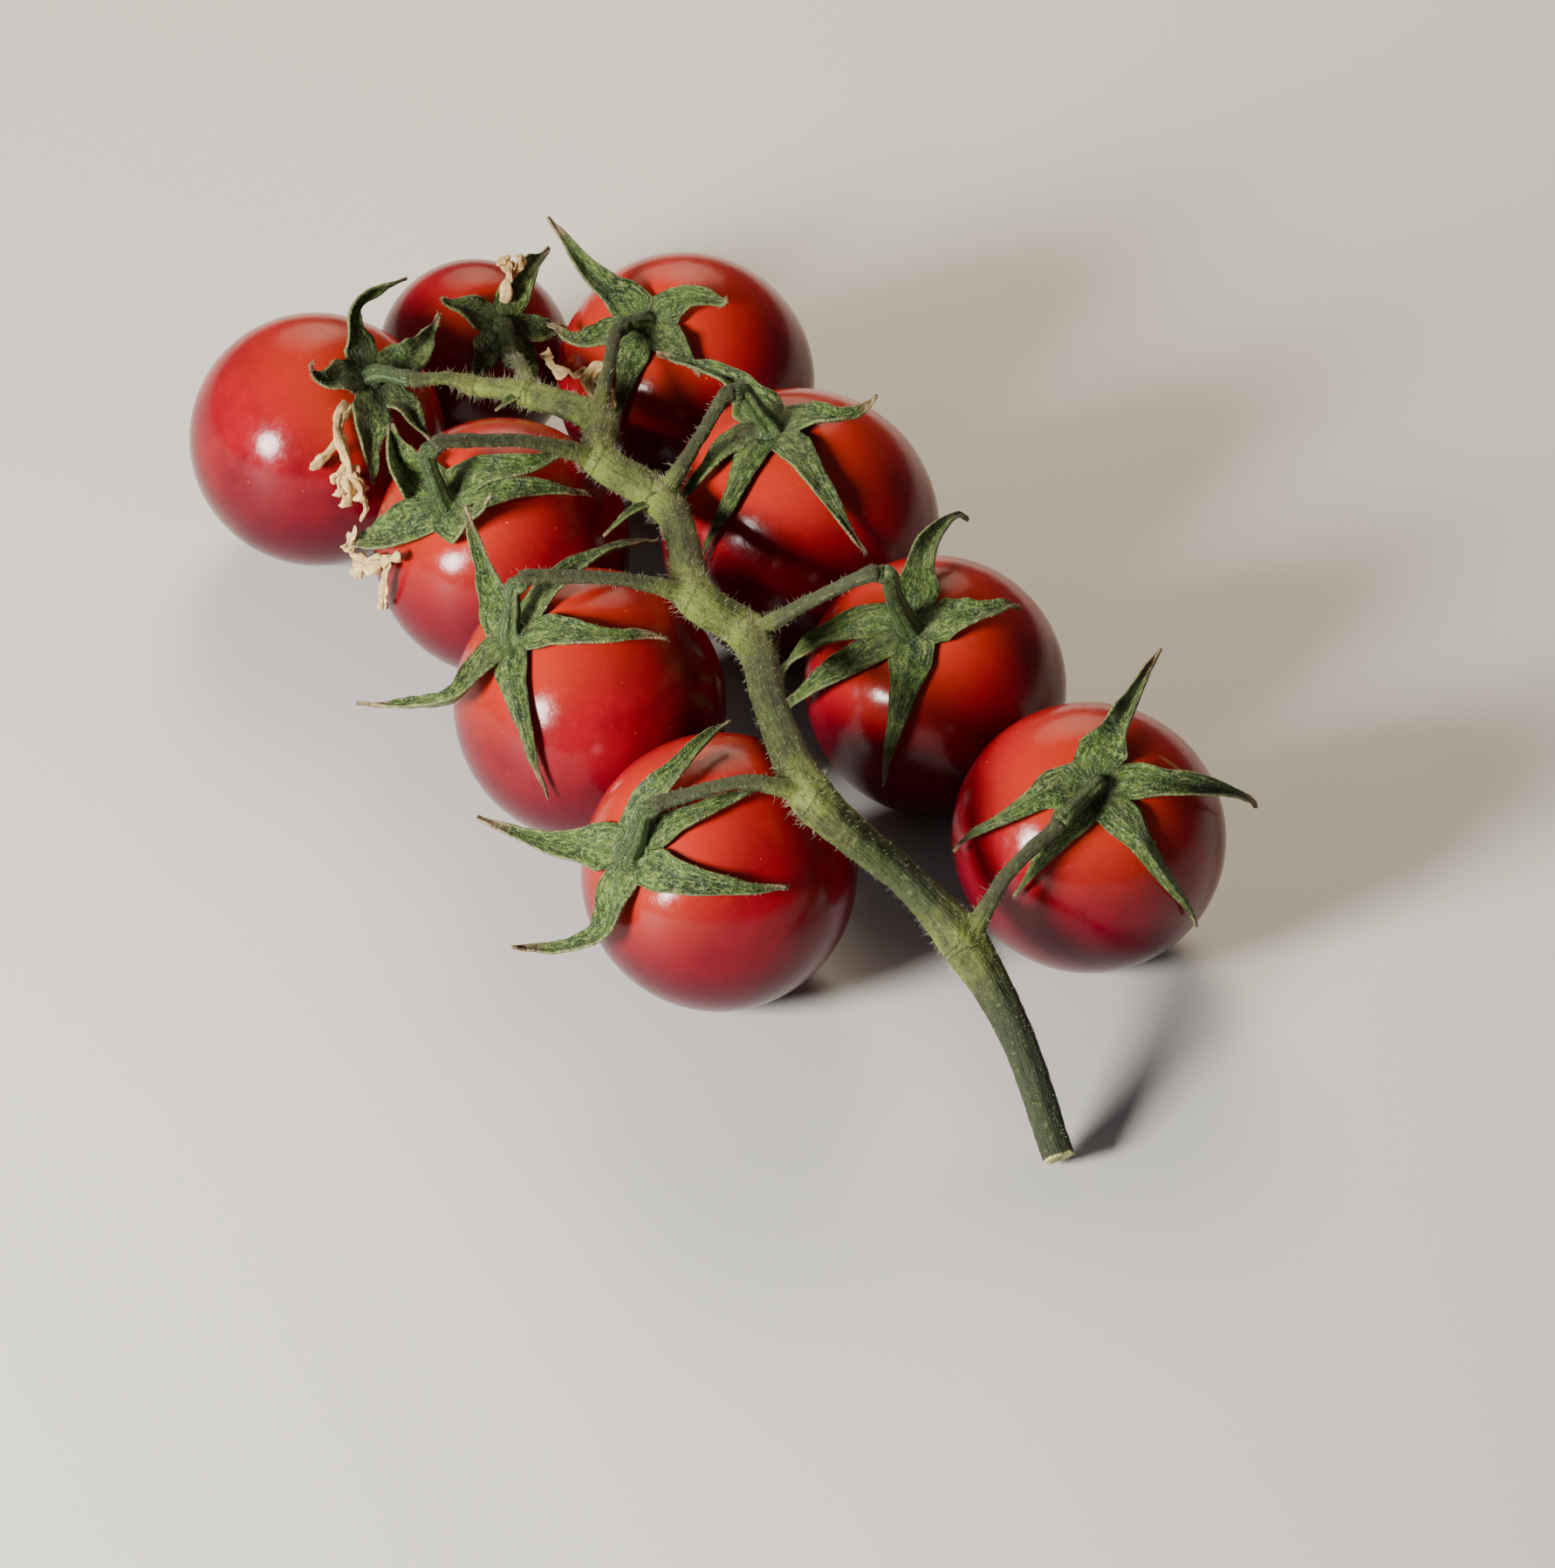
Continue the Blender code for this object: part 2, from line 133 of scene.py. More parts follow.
# Sepals, five to a calyx in order of heading: its middle, then its tip, each as heading in degrees, reach along
# the skin and lift off it in mm; then its width in mm, the rise of its edges as a share of the width, and its
# twist and the curl of its tip in degrees.
SEPALS = {
    1: (
        ((31, 5.8, 1.0), (33, 9.0, 1.4), 5.2, 0.30, 10, 40),
        ((112, 5.6, 1.4), (124, 11.5, 3.6), 5.6, 0.35, 0, 60),
        ((190, 6.4, 3.4), (150, 9.0, 6.4), 3.2, 0.40, 20, 0),
        ((277, 6.4, 1.4), (266, 8.4, 2.6), 5.4, 0.30, -15, 90),
        ((342, 8.0, 0.8), (352, 12.5, 0.8), 7.0, 0.15, 0, 0),
    ),
    2: (
        ((15, 4.9, 0.6), (14, 8.0, 0.6), 5.2, 0.20, 0, 20),
        ((70, 4.2, 0.8), (80, 7.8, 0.8), 4.6, 0.30, 10, 30),
        ((143, 6.4, 1.8), (133, 11.7, 3.0), 4.8, 0.45, -15, 20),
        ((236, 5.2, 1.2), (239, 7.4, 2.0), 5.2, 0.30, 0, 80),
        ((313, 4.8, 0.7), (317, 8.0, 0.7), 5.2, 0.20, 0, 10),
    ),
    3: (
        ((18, 6.0, 0.8), (12, 9.5, 0.8), 4.4, 0.20, 0, 20),
        ((76, 6.6, 1.6), (60, 10.0, 2.6), 4.6, 0.35, 20, 110),
        ((192, 6.6, 3.4), (188, 11.0, 9.6), 4.4, 0.40, -10, 10),
        ((250, 6.8, 1.5), (232, 10.4, 2.6), 4.4, 0.30, 10, 30),
        ((311, 8.6, 0.8), (308, 13.4, 0.6), 4.8, -0.15, 0, 0),
    ),
    4: (
        ((6, 11.6, 0.8), (8, 19.0, 0.6), 4.6, 0.20, 0, 10),
        ((58, 7.2, 1.6), (68, 11.4, 2.8), 5.0, 0.40, 15, 90),
        ((182, 8.0, 2.8), (200, 12.2, 8.4), 4.2, 0.40, -15, 20),
        ((276, 8.3, 0.8), (271, 14.0, 0.6), 4.2, 0.10, 0, 0),
        ((305, 11.0, 0.8), (294, 18.0, 0.6), 4.6, -0.15, 0, 0),
    ),
    5: (
        ((68, 8.0, 1.8), (75, 11.6, 3.0), 5.4, 0.25, -10, -60),
        ((141, 9.0, 2.0), (133, 16.1, 5.6), 4.4, 0.40, 20, -40),
        ((240, 10.7, 1.4), (240, 20.0, 2.0), 4.8, 0.15, 0, 0),
        ((268, 8.8, 1.2), (258, 19.4, 2.6), 4.6, 0.25, -15, 10),
        ((322, 10.0, 0.9), (313, 18.5, 0.7), 5.0, -0.15, 0, 0),
    ),
    6: (
        ((15, 12.0, 0.8), (21, 20.5, 0.8), 4.1, -0.10, 0, 0),
        ((69, 9.0, 1.4), (73, 20.7, 3.0), 3.9, 0.35, 15, 0),
        ((135, 9.4, 1.6), (133, 16.6, 5.8), 3.7, 0.45, -10, 10),
        ((262, 9.6, 1.3), (260, 17.3, 1.7), 3.8, -0.20, 0, -10),
        ((298, 8.2, 0.9), (296, 14.6, 0.5), 4.7, -0.15, 0, 0),
    ),
    7: (
        ((18, 5.0, 2.4), (38, 6.8, 6.8), 4.0, 0.35, 20, 20),
        ((61, 11.0, 1.0), (62, 16.5, 0.8), 4.8, 0.15, 0, 0),
        ((76, 10.0, 1.3), (86, 16.2, 1.2), 5.0, 0.25, 0, 0),
        ((192, 4.8, 2.6), (180, 8.0, 4.8), 7.2, 0.55, 10, 20),
        ((256, 8.0, 1.0), (240, 15.8, 1.2), 6.4, 0.25, 10, 20),
    ),
    8: (
        ((42, 10.6, 1.2), (53, 17.2, 1.3), 4.8, 0.20, 0, 0),
        ((99, 9.7, 1.8), (109, 19.3, 3.3), 4.6, 0.30, 10, 10),
        ((167, 7.6, 3.2), (163, 10.8, 9.8), 4.4, 0.40, -10, 10),
        ((281, 8.4, 2.8), (246, 14.1, 8.9), 4.6, 0.40, 15, 20),
        ((331, 11.5, 0.9), (325, 18.9, 0.7), 4.8, -0.15, 0, 0),
    ),
    9: (
        ((26, 10.6, 1.0), (33, 17.5, 0.9), 5.2, 0.12, 0, 0),
        ((74, 10.6, 0.6), (80, 17.2, 0.5), 3.6, 0.10, 0, 0),
        ((107, 9.2, 1.4), (114, 16.9, 2.0), 5.2, 0.30, 10, 0),
        ((219, 9.8, 3.2), (214, 12.3, 10.6), 4.6, 0.45, -10, 30),
        ((293, 8.4, 1.8), (263, 13.4, 6.6), 5.0, 0.35, 25, 110),
    ),
}
SEPAL_CLEARANCE = 0.6 * MM
SEPAL_THICKNESS = 0.32 * MM
SEPAL_FOLD = 2.6
LEAST_FOLD = 0.55
SEPAL_SHARE = 0.90
WEB_RADIUS = 3.7 * MM  # how far out the sepals of a full-sized calyx are grown together
WEB_SHARES = {1: 0.95, 2: 0.75, 3: 0.95}
WEB_RINGS = 6
SEPAL_STATIONS = 30
SEPAL_COLUMNS = 12

# Withered flowers: tomato, then its strands, each as a width in mm, the swelling of its end as a share of the
# width, and points of heading in degrees, reach along the skin and lift off it in mm.
FLOWERS = {
    1: (
        (1.15, 0.5, ((-54, 5.4, 0.9), (-48, 7.9, 1.3), (-41, 10.1, 2.2), (-41, 12.0, 2.0), (-42, 13.9, 1.2))),
        (1.6, 0.2, ((-52, 5.4, 0.9), (-47, 7.8, 1.3), (-35, 9.8, 2.2), (-27, 11.7, 2.2), (-22, 13.2, 1.6))),
        (1.2, 0.5, ((-27, 11.5, 2.2), (-26, 13.3, 1.8), (-24, 14.8, 1.0))),
        (1.6, 0.5, ((-26, 11.8, 2.0), (-21, 13.4, 2.0), (-18, 15.4, 1.0))),
        (1.5, 0.4, ((-27, 11.5, 2.2), (-19, 12.3, 2.2), (-13, 13.2, 1.2))),
        (1.0, 0.5, ((-24, 11.8, 2.4), (-17, 12.9, 2.6), (-13, 14.3, 1.8))),
        (1.0, 0.5, ((-29, 11.0, 2.4), (-30, 12.2, 2.4), (-29, 13.6, 1.4))),
        (0.8, 0.1, ((-20, 13.3, 1.6), (-12, 14.4, 1.6), (-7, 15.7, 1.2), (-7, 17.2, 1.0))),
    ),
    2: (
        (1.5, 0.1, ((175, 2.6, 1.4), (167, 3.2, 2.0), (161, 4.2, 3.0), (160, 4.9, 3.8))),
        (1.3, 0.6, ((160, 4.4, 3.0), (167, 4.9, 4.0), (174, 5.3, 5.2))),
        (1.3, 0.6, ((159, 4.6, 3.0), (156, 4.9, 4.4), (154, 5.3, 5.6))),
        (1.0, 0.5, ((160, 4.2, 3.0), (166, 4.2, 5.0), (170, 4.6, 5.6))),
    ),
    3: (
        (1.3, 0.8, ((-99, 10.4, 1.4), (-104, 11.3, 1.7), (-112, 12.7, 1.8), (-122, 14.6, 1.6))),
        (0.8, 0.1, ((-81, 7.7, 1.8), (-90, 9.2, 1.6), (-100, 10.6, 1.4))),
        (1.8, 0.3, ((-78, 6.2, 1.6), (-76, 7.2, 2.2), (-72, 8.7, 2.2), (-67, 10.2, 1.4))),
        (1.4, 0.5, ((-73, 6.5, 1.6), (-61, 8.4, 1.8), (-54, 10.8, 1.2))),
    ),
    7: (
        (1.0, 0.1, ((-118, 9.9, 3.4), (-115, 11.4, 3.0), (-120, 15.0, 2.5), (-115, 16.1, 2.2))),
        (1.1, 0.6, ((-117, 15.9, 2.3), (-119, 15.7, 2.9), (-121, 15.5, 3.3))),
        (1.9, 0.4, ((-115, 16.1, 2.2), (-102, 12.8, 2.0), (-93, 10.5, 2.0), (-87, 9.1, 1.8))),
        (1.3, 0.5, ((-86, 9.5, 2.0), (-80, 8.1, 2.0), (-78, 7.4, 1.2))),
        (1.0, 0.4, ((-82, 8.6, 1.8), (-81, 10.2, 1.8), (-81, 12.1, 1.5), (-87, 16.8, 1.0))),
        (1.1, 0.5, ((-110, 14.1, 2.0), (-105, 14.4, 2.0), (-108, 17.0, 2.2))),
    ),
}
STRAND_SIDES = 18
STRAND_RINGS = 48
CRUMPLE_OFFSETS = (Vector((9.3, 0, 0)), Vector((0, 7.1, 0)), Vector((0, 0, 5.7)))


# Where things are


def direction(heading, elevation=0.0):
    across = cos(radians(elevation))
    return Vector((cos(radians(heading)) * across, sin(radians(heading)) * across, sin(radians(elevation))))


def tomato_radius(number):
    return FULL_RADIUS * TOMATOES[number][0]


def tomato_middle(number):
    low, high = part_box(f"tomato_{number}")
    return Vector(((low[0] + high[0]) / 2, (low[1] + high[1]) / 2, tomato_radius(number) - FLAT_DEPTH))


def tomato_frame(number):
    """The tomato's own axes: its stem end is up its Z axis."""
    _, lean, heading = TOMATOES[number]
    towards = Matrix.Rotation(radians(heading), 4, "Z")
    tip = Matrix.Rotation(radians(lean), 4, "Y")
    return Matrix.Translation(tomato_middle(number)) @ towards @ tip @ towards.inverted()


def skin_radius(radius, polar):
    return radius - DIMPLE_DEPTH * exp(-((polar / DIMPLE_HALF_ANGLE) ** 2))


def over_skin(radius, heading, reach, lift):
    """A point in the tomato's own axes, reach along the skin from the stem and lift off it, all in metres."""
    polar = reach / radius
    distance = skin_radius(radius, polar) + lift
    side = distance * sin(polar)
    return Vector((side * cos(radians(heading)), side * sin(radians(heading)), distance * cos(polar)))


def rachis_route():
    """(name, point, radius) along the main stem, from its cut end."""
    number, heading, distance = CUT_END_FROM
    end = tomato_middle(number) + direction(heading) * (tomato_radius(number) + distance * MM)
    end_radius = RACHIS_RADIUS * CUT_END_SHARE
    end.z = end_radius * 0.85 + 0.3 * MM
    route = [("cut_end", end, end_radius)]
    for name, number, heading, elevation, clearance, share in RACHIS:
        reach = tomato_radius(number) + clearance * MM
        route.append((name, tomato_middle(number) + direction(heading, elevation) * reach, RACHIS_RADIUS * share))
    return route


def calyx_stem_route(number):
    """The calyx's short stem in the tomato's own axes: its foot, its bend and the knuckle."""
    _, height, offset, heading, _ = STEMS[number]
    radius = tomato_radius(number)
    foot = Vector((0, 0, skin_radius(radius, 0) + SEPAL_CLEARANCE))
    top = direction(heading) * offset * MM + Vector((0, 0, radius + height * MM))
    bend = Vector((top.x * 0.3, top.y * 0.3, foot.z + (top.z - foot.z) * 0.55))
    return foot, bend, top


def knuckle(number, start):
    """Where the stem from the main stem meets the calyx's, and the direction that both have there."""
    local = tomato_frame(number)
    _, bend, top = calyx_stem_route(number)
    place = local @ top
    onward = (local @ bend - place).normalized()
    inward = (place - start).normalized()
    return place, (onward + inward).normalized()


# Meshes


def unit(vectors):
    return vectors / np.maximum(np.linalg.norm(vectors, axis=-1, keepdims=True), 1e-12)


def smooth_route(points, radii, spacing):
    """Points and radii along a Catmull-Rom curve through the given ones, about spacing apart."""
    rows = np.column_stack([np.array([list(point) for point in points]), np.array(radii)])
    padded = np.vstack([2 * rows[0] - rows[1], rows, 2 * rows[-1] - rows[-2]])
    out = []
    for place in range(len(rows) - 1):
        a, b, c, d = padded[place : place + 4]
        count = max(2, int(np.linalg.norm((c - b)[:3]) / spacing))
        for step in range(count):
            t = step / count
            out.append(0.5 * (2 * b + (c - a) * t + (2 * a - 5 * b + 4 * c - d) * t**2 + (3 * b - a - 3 * c + d) * t**3))
    out.append(rows[-1])
    out = np.array(out)
    return out[:, :3], out[:, 3]


def carried_normals(points, first):
    """A normal at each point of a path, carried along it without twisting, and the path's tangents."""
    tangents = unit(np.gradient(points, axis=0))
    normals = np.empty_like(points)
    normal = np.array(first, float)
    for place, tangent in enumerate(tangents):
        normal = unit(normal - tangent * normal.dot(tangent))
        normals[place] = normal
    return normals, tangents


def tube_shell(points, radii, sides, ribs=0, depth=0.0, flatten=1.0):
    """Vertices and faces of a closed tube, ribbed lengthwise by depth as a share of its radius."""
    normals, tangents = carried_normals(points, (0.01, 0.02, 1.0))
    across = np.cross(tangents, normals)
    turns = np.linspace(0, 2 * pi, sides, endpoint=False)
    swell = 1 + depth * np.cos(ribs * turns)
    rings = (
        points[:, None]
        + across[:, None] * (np.cos(turns) * swell)[None, :, None] * radii[:, None, None]
        + normals[:, None] * (np.sin(turns) * swell)[None, :, None] * radii[:, None, None] * flatten
    )
    count = len(points)
    verts = [*rings.reshape(-1, 3), points[0], points[-1]]
    faces = []
    for ring in range(count - 1):
        for side in range(sides):
            a, b = ring * sides + side, ring * sides + (side + 1) % sides
            faces.append((a, b, b + sides, a + sides))
    last = (count - 1) * sides
    for side in range(sides):
        after = (side + 1) % sides
        faces.append((after, side, count * sides))
        faces.append((last + side, last + after, count * sides + 1))
    return verts, faces


def mesh_object(name, verts, faces, look=None):
    mesh = bpy.data.meshes.new(name)
    mesh.from_pydata([tuple(vert) for vert in verts], [], faces)
    mesh.validate()
    made = bpy.data.objects.new(name, mesh)
    bpy.context.scene.collection.objects.link(made)
    if look:
        mesh.materials.append(look)
    mesh.shade_smooth()
    return made


def joined(shells):
    """Several shells' vertices and faces as one."""
    verts, faces = [], []
    for more_verts, more_faces in shells:
        start = len(verts)
        verts += list(more_verts)
        faces += [tuple(start + corner for corner in face) for face in more_faces]
    return verts, faces


def with_modifiers_applied(obj):
    evaluated = obj.evaluated_get(bpy.context.evaluated_depsgraph_get())
    mesh = bpy.data.meshes.new_from_object(evaluated)
    old = obj.data
    obj.modifiers.clear()
    obj.data = mesh
    bpy.data.meshes.remove(old)
    mesh.name = obj.name
    mesh.shade_smooth()
    return obj


def vertex_array(mesh, field):
    values = np.empty(len(mesh.vertices) * 3)
    mesh.vertices.foreach_get(field, values)
    return values.reshape(-1, 3)


def store(mesh, name, values):
    """A number at each vertex, for a material to read."""
    layer = mesh.attributes.new(name, "FLOAT", "POINT")
    layer.data.foreach_set("value", np.asarray(values, np.float32))


def place_piece(piece, slot, *nodes):
    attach(piece, "root")
    if nodes:
        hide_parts(*nodes)
    return piece


# Materials


def add_node(tree, kind, values=None, **settings):
    """A shader node with its settings, and its inputs either linked or set."""
    made = tree.nodes.new("ShaderNode" + kind)
    for key, value in settings.items():
        setattr(made, key, value)
    for key, value in (values or {}).items():
        if isinstance(value, bpy.types.NodeSocket):
            tree.links.new(value, made.inputs[key])
        else:
            made.inputs[key].default_value = value
    return made


def new_material(name, **sockets):
    made = bpy.data.materials.new(name)
    made.use_nodes = True
    tree = made.node_tree
    shader = tree.nodes["Principled BSDF"]
    for key, value in sockets.items():
        shader.inputs[key.replace("_", " ")].default_value = value
    return made, tree, shader


def position(tree):
    return add_node(tree, "TexCoord").outputs["Object"]


def attribute(tree, name):
    return add_node(tree, "Attribute", attribute_name=name).outputs["Fac"]


def noise_texture(tree, vector, scale, detail=3.0, rough=0.55, warp=0.0):
    values = {"Vector": vector, "Scale": scale, "Detail": detail, "Roughness": rough, "Distortion": warp}
    return add_node(tree, "TexNoise", values).outputs["Fac"]


def calculate(tree, operation, a, b=0.0, clamp=False):
    return add_node(tree, "Math", {0: a, 1: b}, operation=operation, use_clamp=clamp).outputs[0]


def between(tree, value, low, high, new_low=0.0, new_high=1.0):
    """value smoothly from new_low to new_high as it goes from low to high."""
    values = {"Value": value, "From Min": low, "From Max": high, "To Min": new_low, "To Max": new_high}
    return add_node(tree, "MapRange", values, interpolation_type="SMOOTHSTEP").outputs[0]


def blend(tree, factor, a, b):
    values = {0: factor, 6: (*a, 1) if isinstance(a, tuple) else a, 7: (*b, 1) if isinstance(b, tuple) else b}
    return add_node(tree, "Mix", values, data_type="RGBA").outputs[2]


def bump(tree, shader, *layers):
    """Bumps on the shader, each layer as (height, depth in metres)."""
    normal = None
    for height, depth in layers:
        values = {"Height": height, "Distance": depth, "Strength": 1.0}
        if normal:
            values["Normal"] = normal
        normal = add_node(tree, "Bump", values).outputs["Normal"]
    tree.links.new(normal, shader.inputs["Normal"])


def combine_vector(tree, x, y, z=0.0):
    return add_node(tree, "CombineXYZ", {"X": x, "Y": y, "Z": z}).outputs[0]


def tomato_material():
    """Deep red glossy skin with fine specks, more orange round the stem, with a painted warm highlight towards the
    top and painted shade towards the bottom.
    """
    made, tree, shader = new_material(
        "tomato_skin_look",
        Coat_Weight=0.06,
        Coat_Roughness=0.12,
        Subsurface_Weight=0.08,
        Subsurface_Radius=(1.0, 0.2, 0.1),
        Subsurface_Scale=0.002,
        Specular_IOR_Level=0.22,
    )
    where = position(tree)
    polar = attribute(tree, "polar")
    patches = noise_texture(tree, where, 130, 2.0)
    mottle = noise_texture(tree, where, 900, 4.0, 0.65)
    red = blend(tree, between(tree, patches, 0.3, 0.7), (0.145, 0.0006, 0.0070), (0.260, 0.0024, 0.0085))
    red = blend(tree, between(tree, mottle, 0.48, 0.78, 0, 0.22), red, (0.42, 0.012, 0.010))
    stem_end = between(tree, calculate(tree, "ADD", polar, calculate(tree, "MULTIPLY", patches, 0.15)), 0.42, 0.14)
    red = blend(tree, calculate(tree, "MULTIPLY", stem_end, 0.45), red, (0.58, 0.050, 0.010))
    for scale, size, share in ((380, 0.060, 0.74), (800, 0.095, 0.78), (1500, 0.120, 0.88)):
        cells = add_node(tree, "TexVoronoi", {"Vector": where, "Scale": scale, "Randomness": 1.0})
        dot = between(tree, cells.outputs["Distance"], size, size * 0.45)
        chosen = calculate(tree, "GREATER_THAN", cells.outputs["Color"], share)
        speck = calculate(tree, "MULTIPLY", dot, chosen)
        red = blend(tree, calculate(tree, "MULTIPLY", speck, 0.75), red, (0.74, 0.24, 0.03))
    pores = add_node(tree, "TexVoronoi", {"Vector": where, "Scale": 420.0, "Randomness": 1.0})
    pore = calculate(tree, "MULTIPLY", between(tree, pores.outputs["Distance"], 0.075, 0.045),
                     calculate(tree, "GREATER_THAN", pores.outputs["Color"], 0.93))
    red = blend(tree, calculate(tree, "MULTIPLY", pore, 0.75), red, (0.030, 0.010, 0.006))
    height = add_node(tree, "SeparateXYZ", {"Vector": where}).outputs["Z"]
    # Painted highlight: the skin turns more orange-red towards the top, where the warm back light falls.
    red = blend(tree, between(tree, height, 0.022, 0.031, 0, 0.50), red, (0.46, 0.024, 0.010))
    # Painted shade: the skin darkens to deep crimson towards the bottom, the side turned away from the lights.
    red = blend(tree, between(tree, height, 0.025, 0.007, 0, 0.88), red, (0.050, 0.0004, 0.0070))
    cork_turn = CORK_ALONG.to_track_quat("X", "Z").to_euler()
    values = {"Vector": where, "Location": CORK_MIDDLE, "Rotation": cork_turn, "Scale": CORK_SIZE}
    round_cork = add_node(tree, "Mapping", values, vector_type="TEXTURE").outputs["Vector"]
    cork = add_node(tree, "TexGradient", {"Vector": round_cork}, gradient_type="SPHERICAL").outputs["Fac"]
    cork = calculate(tree, "ADD", cork, calculate(tree, "MULTIPLY", mottle, 0.5))
    red = blend(tree, between(tree, cork, 0.42, 0.62, 0, 0.75), red, (0.40, 0.20, 0.07))
    scar = between(tree, polar, 0.975, 0.99)
    red = blend(tree, scar, red, (0.22, 0.12, 0.04))
    tree.links.new(red, shader.inputs["Base Color"])
    tree.links.new(between(tree, mottle, 0.3, 0.7, 0.15, 0.24), shader.inputs["Roughness"])
    fine = noise_texture(tree, where, 4200, 2.0)
    bump(tree, shader, (mottle, 0.00003), (fine, 0.000006))
    return made


def leaf_material():
    """Sepals: mottled green with pale veins and edges, dry at the tips, with painted glints and sheen and painted
    shade in the middle grooves and round the stem.
    """
    made, tree, shader = new_material(
        "sepal_look",
        Specular_IOR_Level=0.34,
        Sheen_Weight=0.03,
        Sheen_Roughness=0.45,
        Sheen_Tint=(0.80, 0.86, 0.70, 1),
        Subsurface_Weight=0.05,
        Subsurface_Radius=(0.5, 1.0, 0.2),
        Subsurface_Scale=0.0006,
    )
    where = position(tree)
    along, across, dry = attribute(tree, "along"), attribute(tree, "across"), attribute(tree, "dry")
    patches = noise_texture(tree, where, 330, 3.0, 0.6)
    mottle = noise_texture(tree, where, 1700, 4.0, 0.7)
    grain = combine_vector(tree, calculate(tree, "MULTIPLY", along, 16), calculate(tree, "MULTIPLY", across, 5), dry)
    streaks = noise_texture(tree, grain, 1.0, 4.0, 0.65, 0.4)
    green = blend(tree, between(tree, patches, 0.35, 0.68), (0.010, 0.027, 0.004), (0.055, 0.110, 0.010))
    # Pale lengthwise streaks: partly the sepal's own tone, partly painted glints along its length.
    green = blend(tree, between(tree, streaks, 0.48, 0.64, 0, 0.80), green, (0.175, 0.240, 0.040))
    green = blend(tree, between(tree, streaks, 0.46, 0.32, 0, 0.60), green, (0.008, 0.020, 0.003))
    # Painted glints: small bright yellow-green spots scattered over the sepals.
    green = blend(tree, between(tree, mottle, 0.53, 0.64, 0, 0.60), green, (0.240, 0.300, 0.090))
    # Painted shade: darker near the middle of the star, round the foot of the stem.
    green = blend(tree, between(tree, along, 0.15, 0.01, 0, 0.65), green, (0.020, 0.036, 0.009))
    veins = calculate(tree, "COSINE", calculate(tree, "MULTIPLY", across, 2 * pi * 2.5))
    faint = calculate(tree, "MULTIPLY", between(tree, veins, 0.80, 1.0, 0, 0.40), patches)
    green = blend(tree, faint, green, (0.17, 0.24, 0.09))
    # Painted shade: darker along each sepal's middle groove.
    side = calculate(tree, "ABSOLUTE", across)
    green = blend(tree, between(tree, side, 0.16, 0.03, 0, 0.55), green, (0.012, 0.030, 0.006))
    edge = between(tree, side, 0.93, 1.0)
    green = blend(tree, calculate(tree, "MULTIPLY", edge, 0.35), green, (0.24, 0.24, 0.10))
    withering = calculate(tree, "ADD", calculate(tree, "ADD", along, dry), calculate(tree, "MULTIPLY", patches, 0.16))
    brown = blend(tree, between(tree, mottle, 0.35, 0.65), (0.13, 0.075, 0.030), (0.36, 0.26, 0.13))
    green = blend(tree, between(tree, withering, 0.93, 1.06), green, brown)
    # Pale fuzz of hairs, partly painted sheen.
    fuzz_and_sheen = between(tree, noise_texture(tree, where, 4200, 2.0, 0.8), 0.58, 0.70, 0, 0.65)
    green = blend(tree, fuzz_and_sheen, green, (0.38, 0.42, 0.30))
    tree.links.new(green, shader.inputs["Base Color"])
    tree.links.new(between(tree, mottle, 0.3, 0.7, 0.32, 0.58), shader.inputs["Roughness"])
    bump(tree, shader, (veins, 0.00002), (streaks, 0.00070), (mottle, 0.00036))
    return made


def stalk_material():
    """Stalk: grey-green with lengthwise streaks and pale specks, yellow-green at its nodes, with painted shade
    towards the cut end.
    """
    made, tree, shader = new_material(
        "stalk_look",
        Specular_IOR_Level=0.30,
        Sheen_Weight=0.03,
        Sheen_Roughness=0.4,
        Sheen_Tint=(0.86, 0.88, 0.76, 1),
        Subsurface_Weight=0.06,
        Subsurface_Radius=(0.6, 1.0, 0.25),
        Subsurface_Scale=0.0008,
    )
    where = position(tree)
    along, around = attribute(tree, "along"), attribute(tree, "around")
    node, twig, cut = attribute(tree, "node"), attribute(tree, "twig"), attribute(tree, "cut")
    grain = combine_vector(tree, calculate(tree, "MULTIPLY", along, 160), calculate(tree, "MULTIPLY", around, 1.6), twig)
    streaks = noise_texture(tree, grain, 2.2, 4.0, 0.65, 0.3)
    patches = noise_texture(tree, where, 260, 3.0, 0.6)
    mottle = noise_texture(tree, where, 1500, 4.0, 0.7)
    green = blend(tree, between(tree, streaks, 0.35, 0.65), (0.015, 0.021, 0.005), (0.050, 0.062, 0.016))
    green = blend(tree, between(tree, patches, 0.40, 0.70, 0, 0.5), green, (0.058, 0.088, 0.014))
    green = blend(tree, calculate(tree, "MULTIPLY", twig, 0.45), green, (0.046, 0.047, 0.023))
    # Painted shade: the main stem darkens towards its cut end.
    low = calculate(tree, "MULTIPLY", between(tree, along, 0.056, 0.014), calculate(tree, "SUBTRACT", 1.0, twig))
    green = blend(tree, calculate(tree, "MULTIPLY", low, 0.78), green, (0.016, 0.021, 0.006))
    swollen = calculate(tree, "MULTIPLY", node, between(tree, patches, 0.25, 0.60))
    green = blend(tree, calculate(tree, "MULTIPLY", swollen, 0.80), green, (0.185, 0.230, 0.030))
    green = blend(tree, between(tree, mottle, 0.56, 0.68, 0, 0.38), green, (0.20, 0.22, 0.10))
    green = blend(tree, between(tree, mottle, 0.46, 0.32, 0, 0.75), green, (0.014, 0.019, 0.006))
    pith = blend(tree, between(tree, mottle, 0.35, 0.65), (0.36, 0.38, 0.12), (0.55, 0.55, 0.26))
    green = blend(tree, cut, green, pith)
    tree.links.new(green, shader.inputs["Base Color"])
    tree.links.new(between(tree, mottle, 0.3, 0.7, 0.50, 0.75), shader.inputs["Roughness"])
    bump(tree, shader, (streaks, 0.00035), (mottle, 0.00026))
    return made


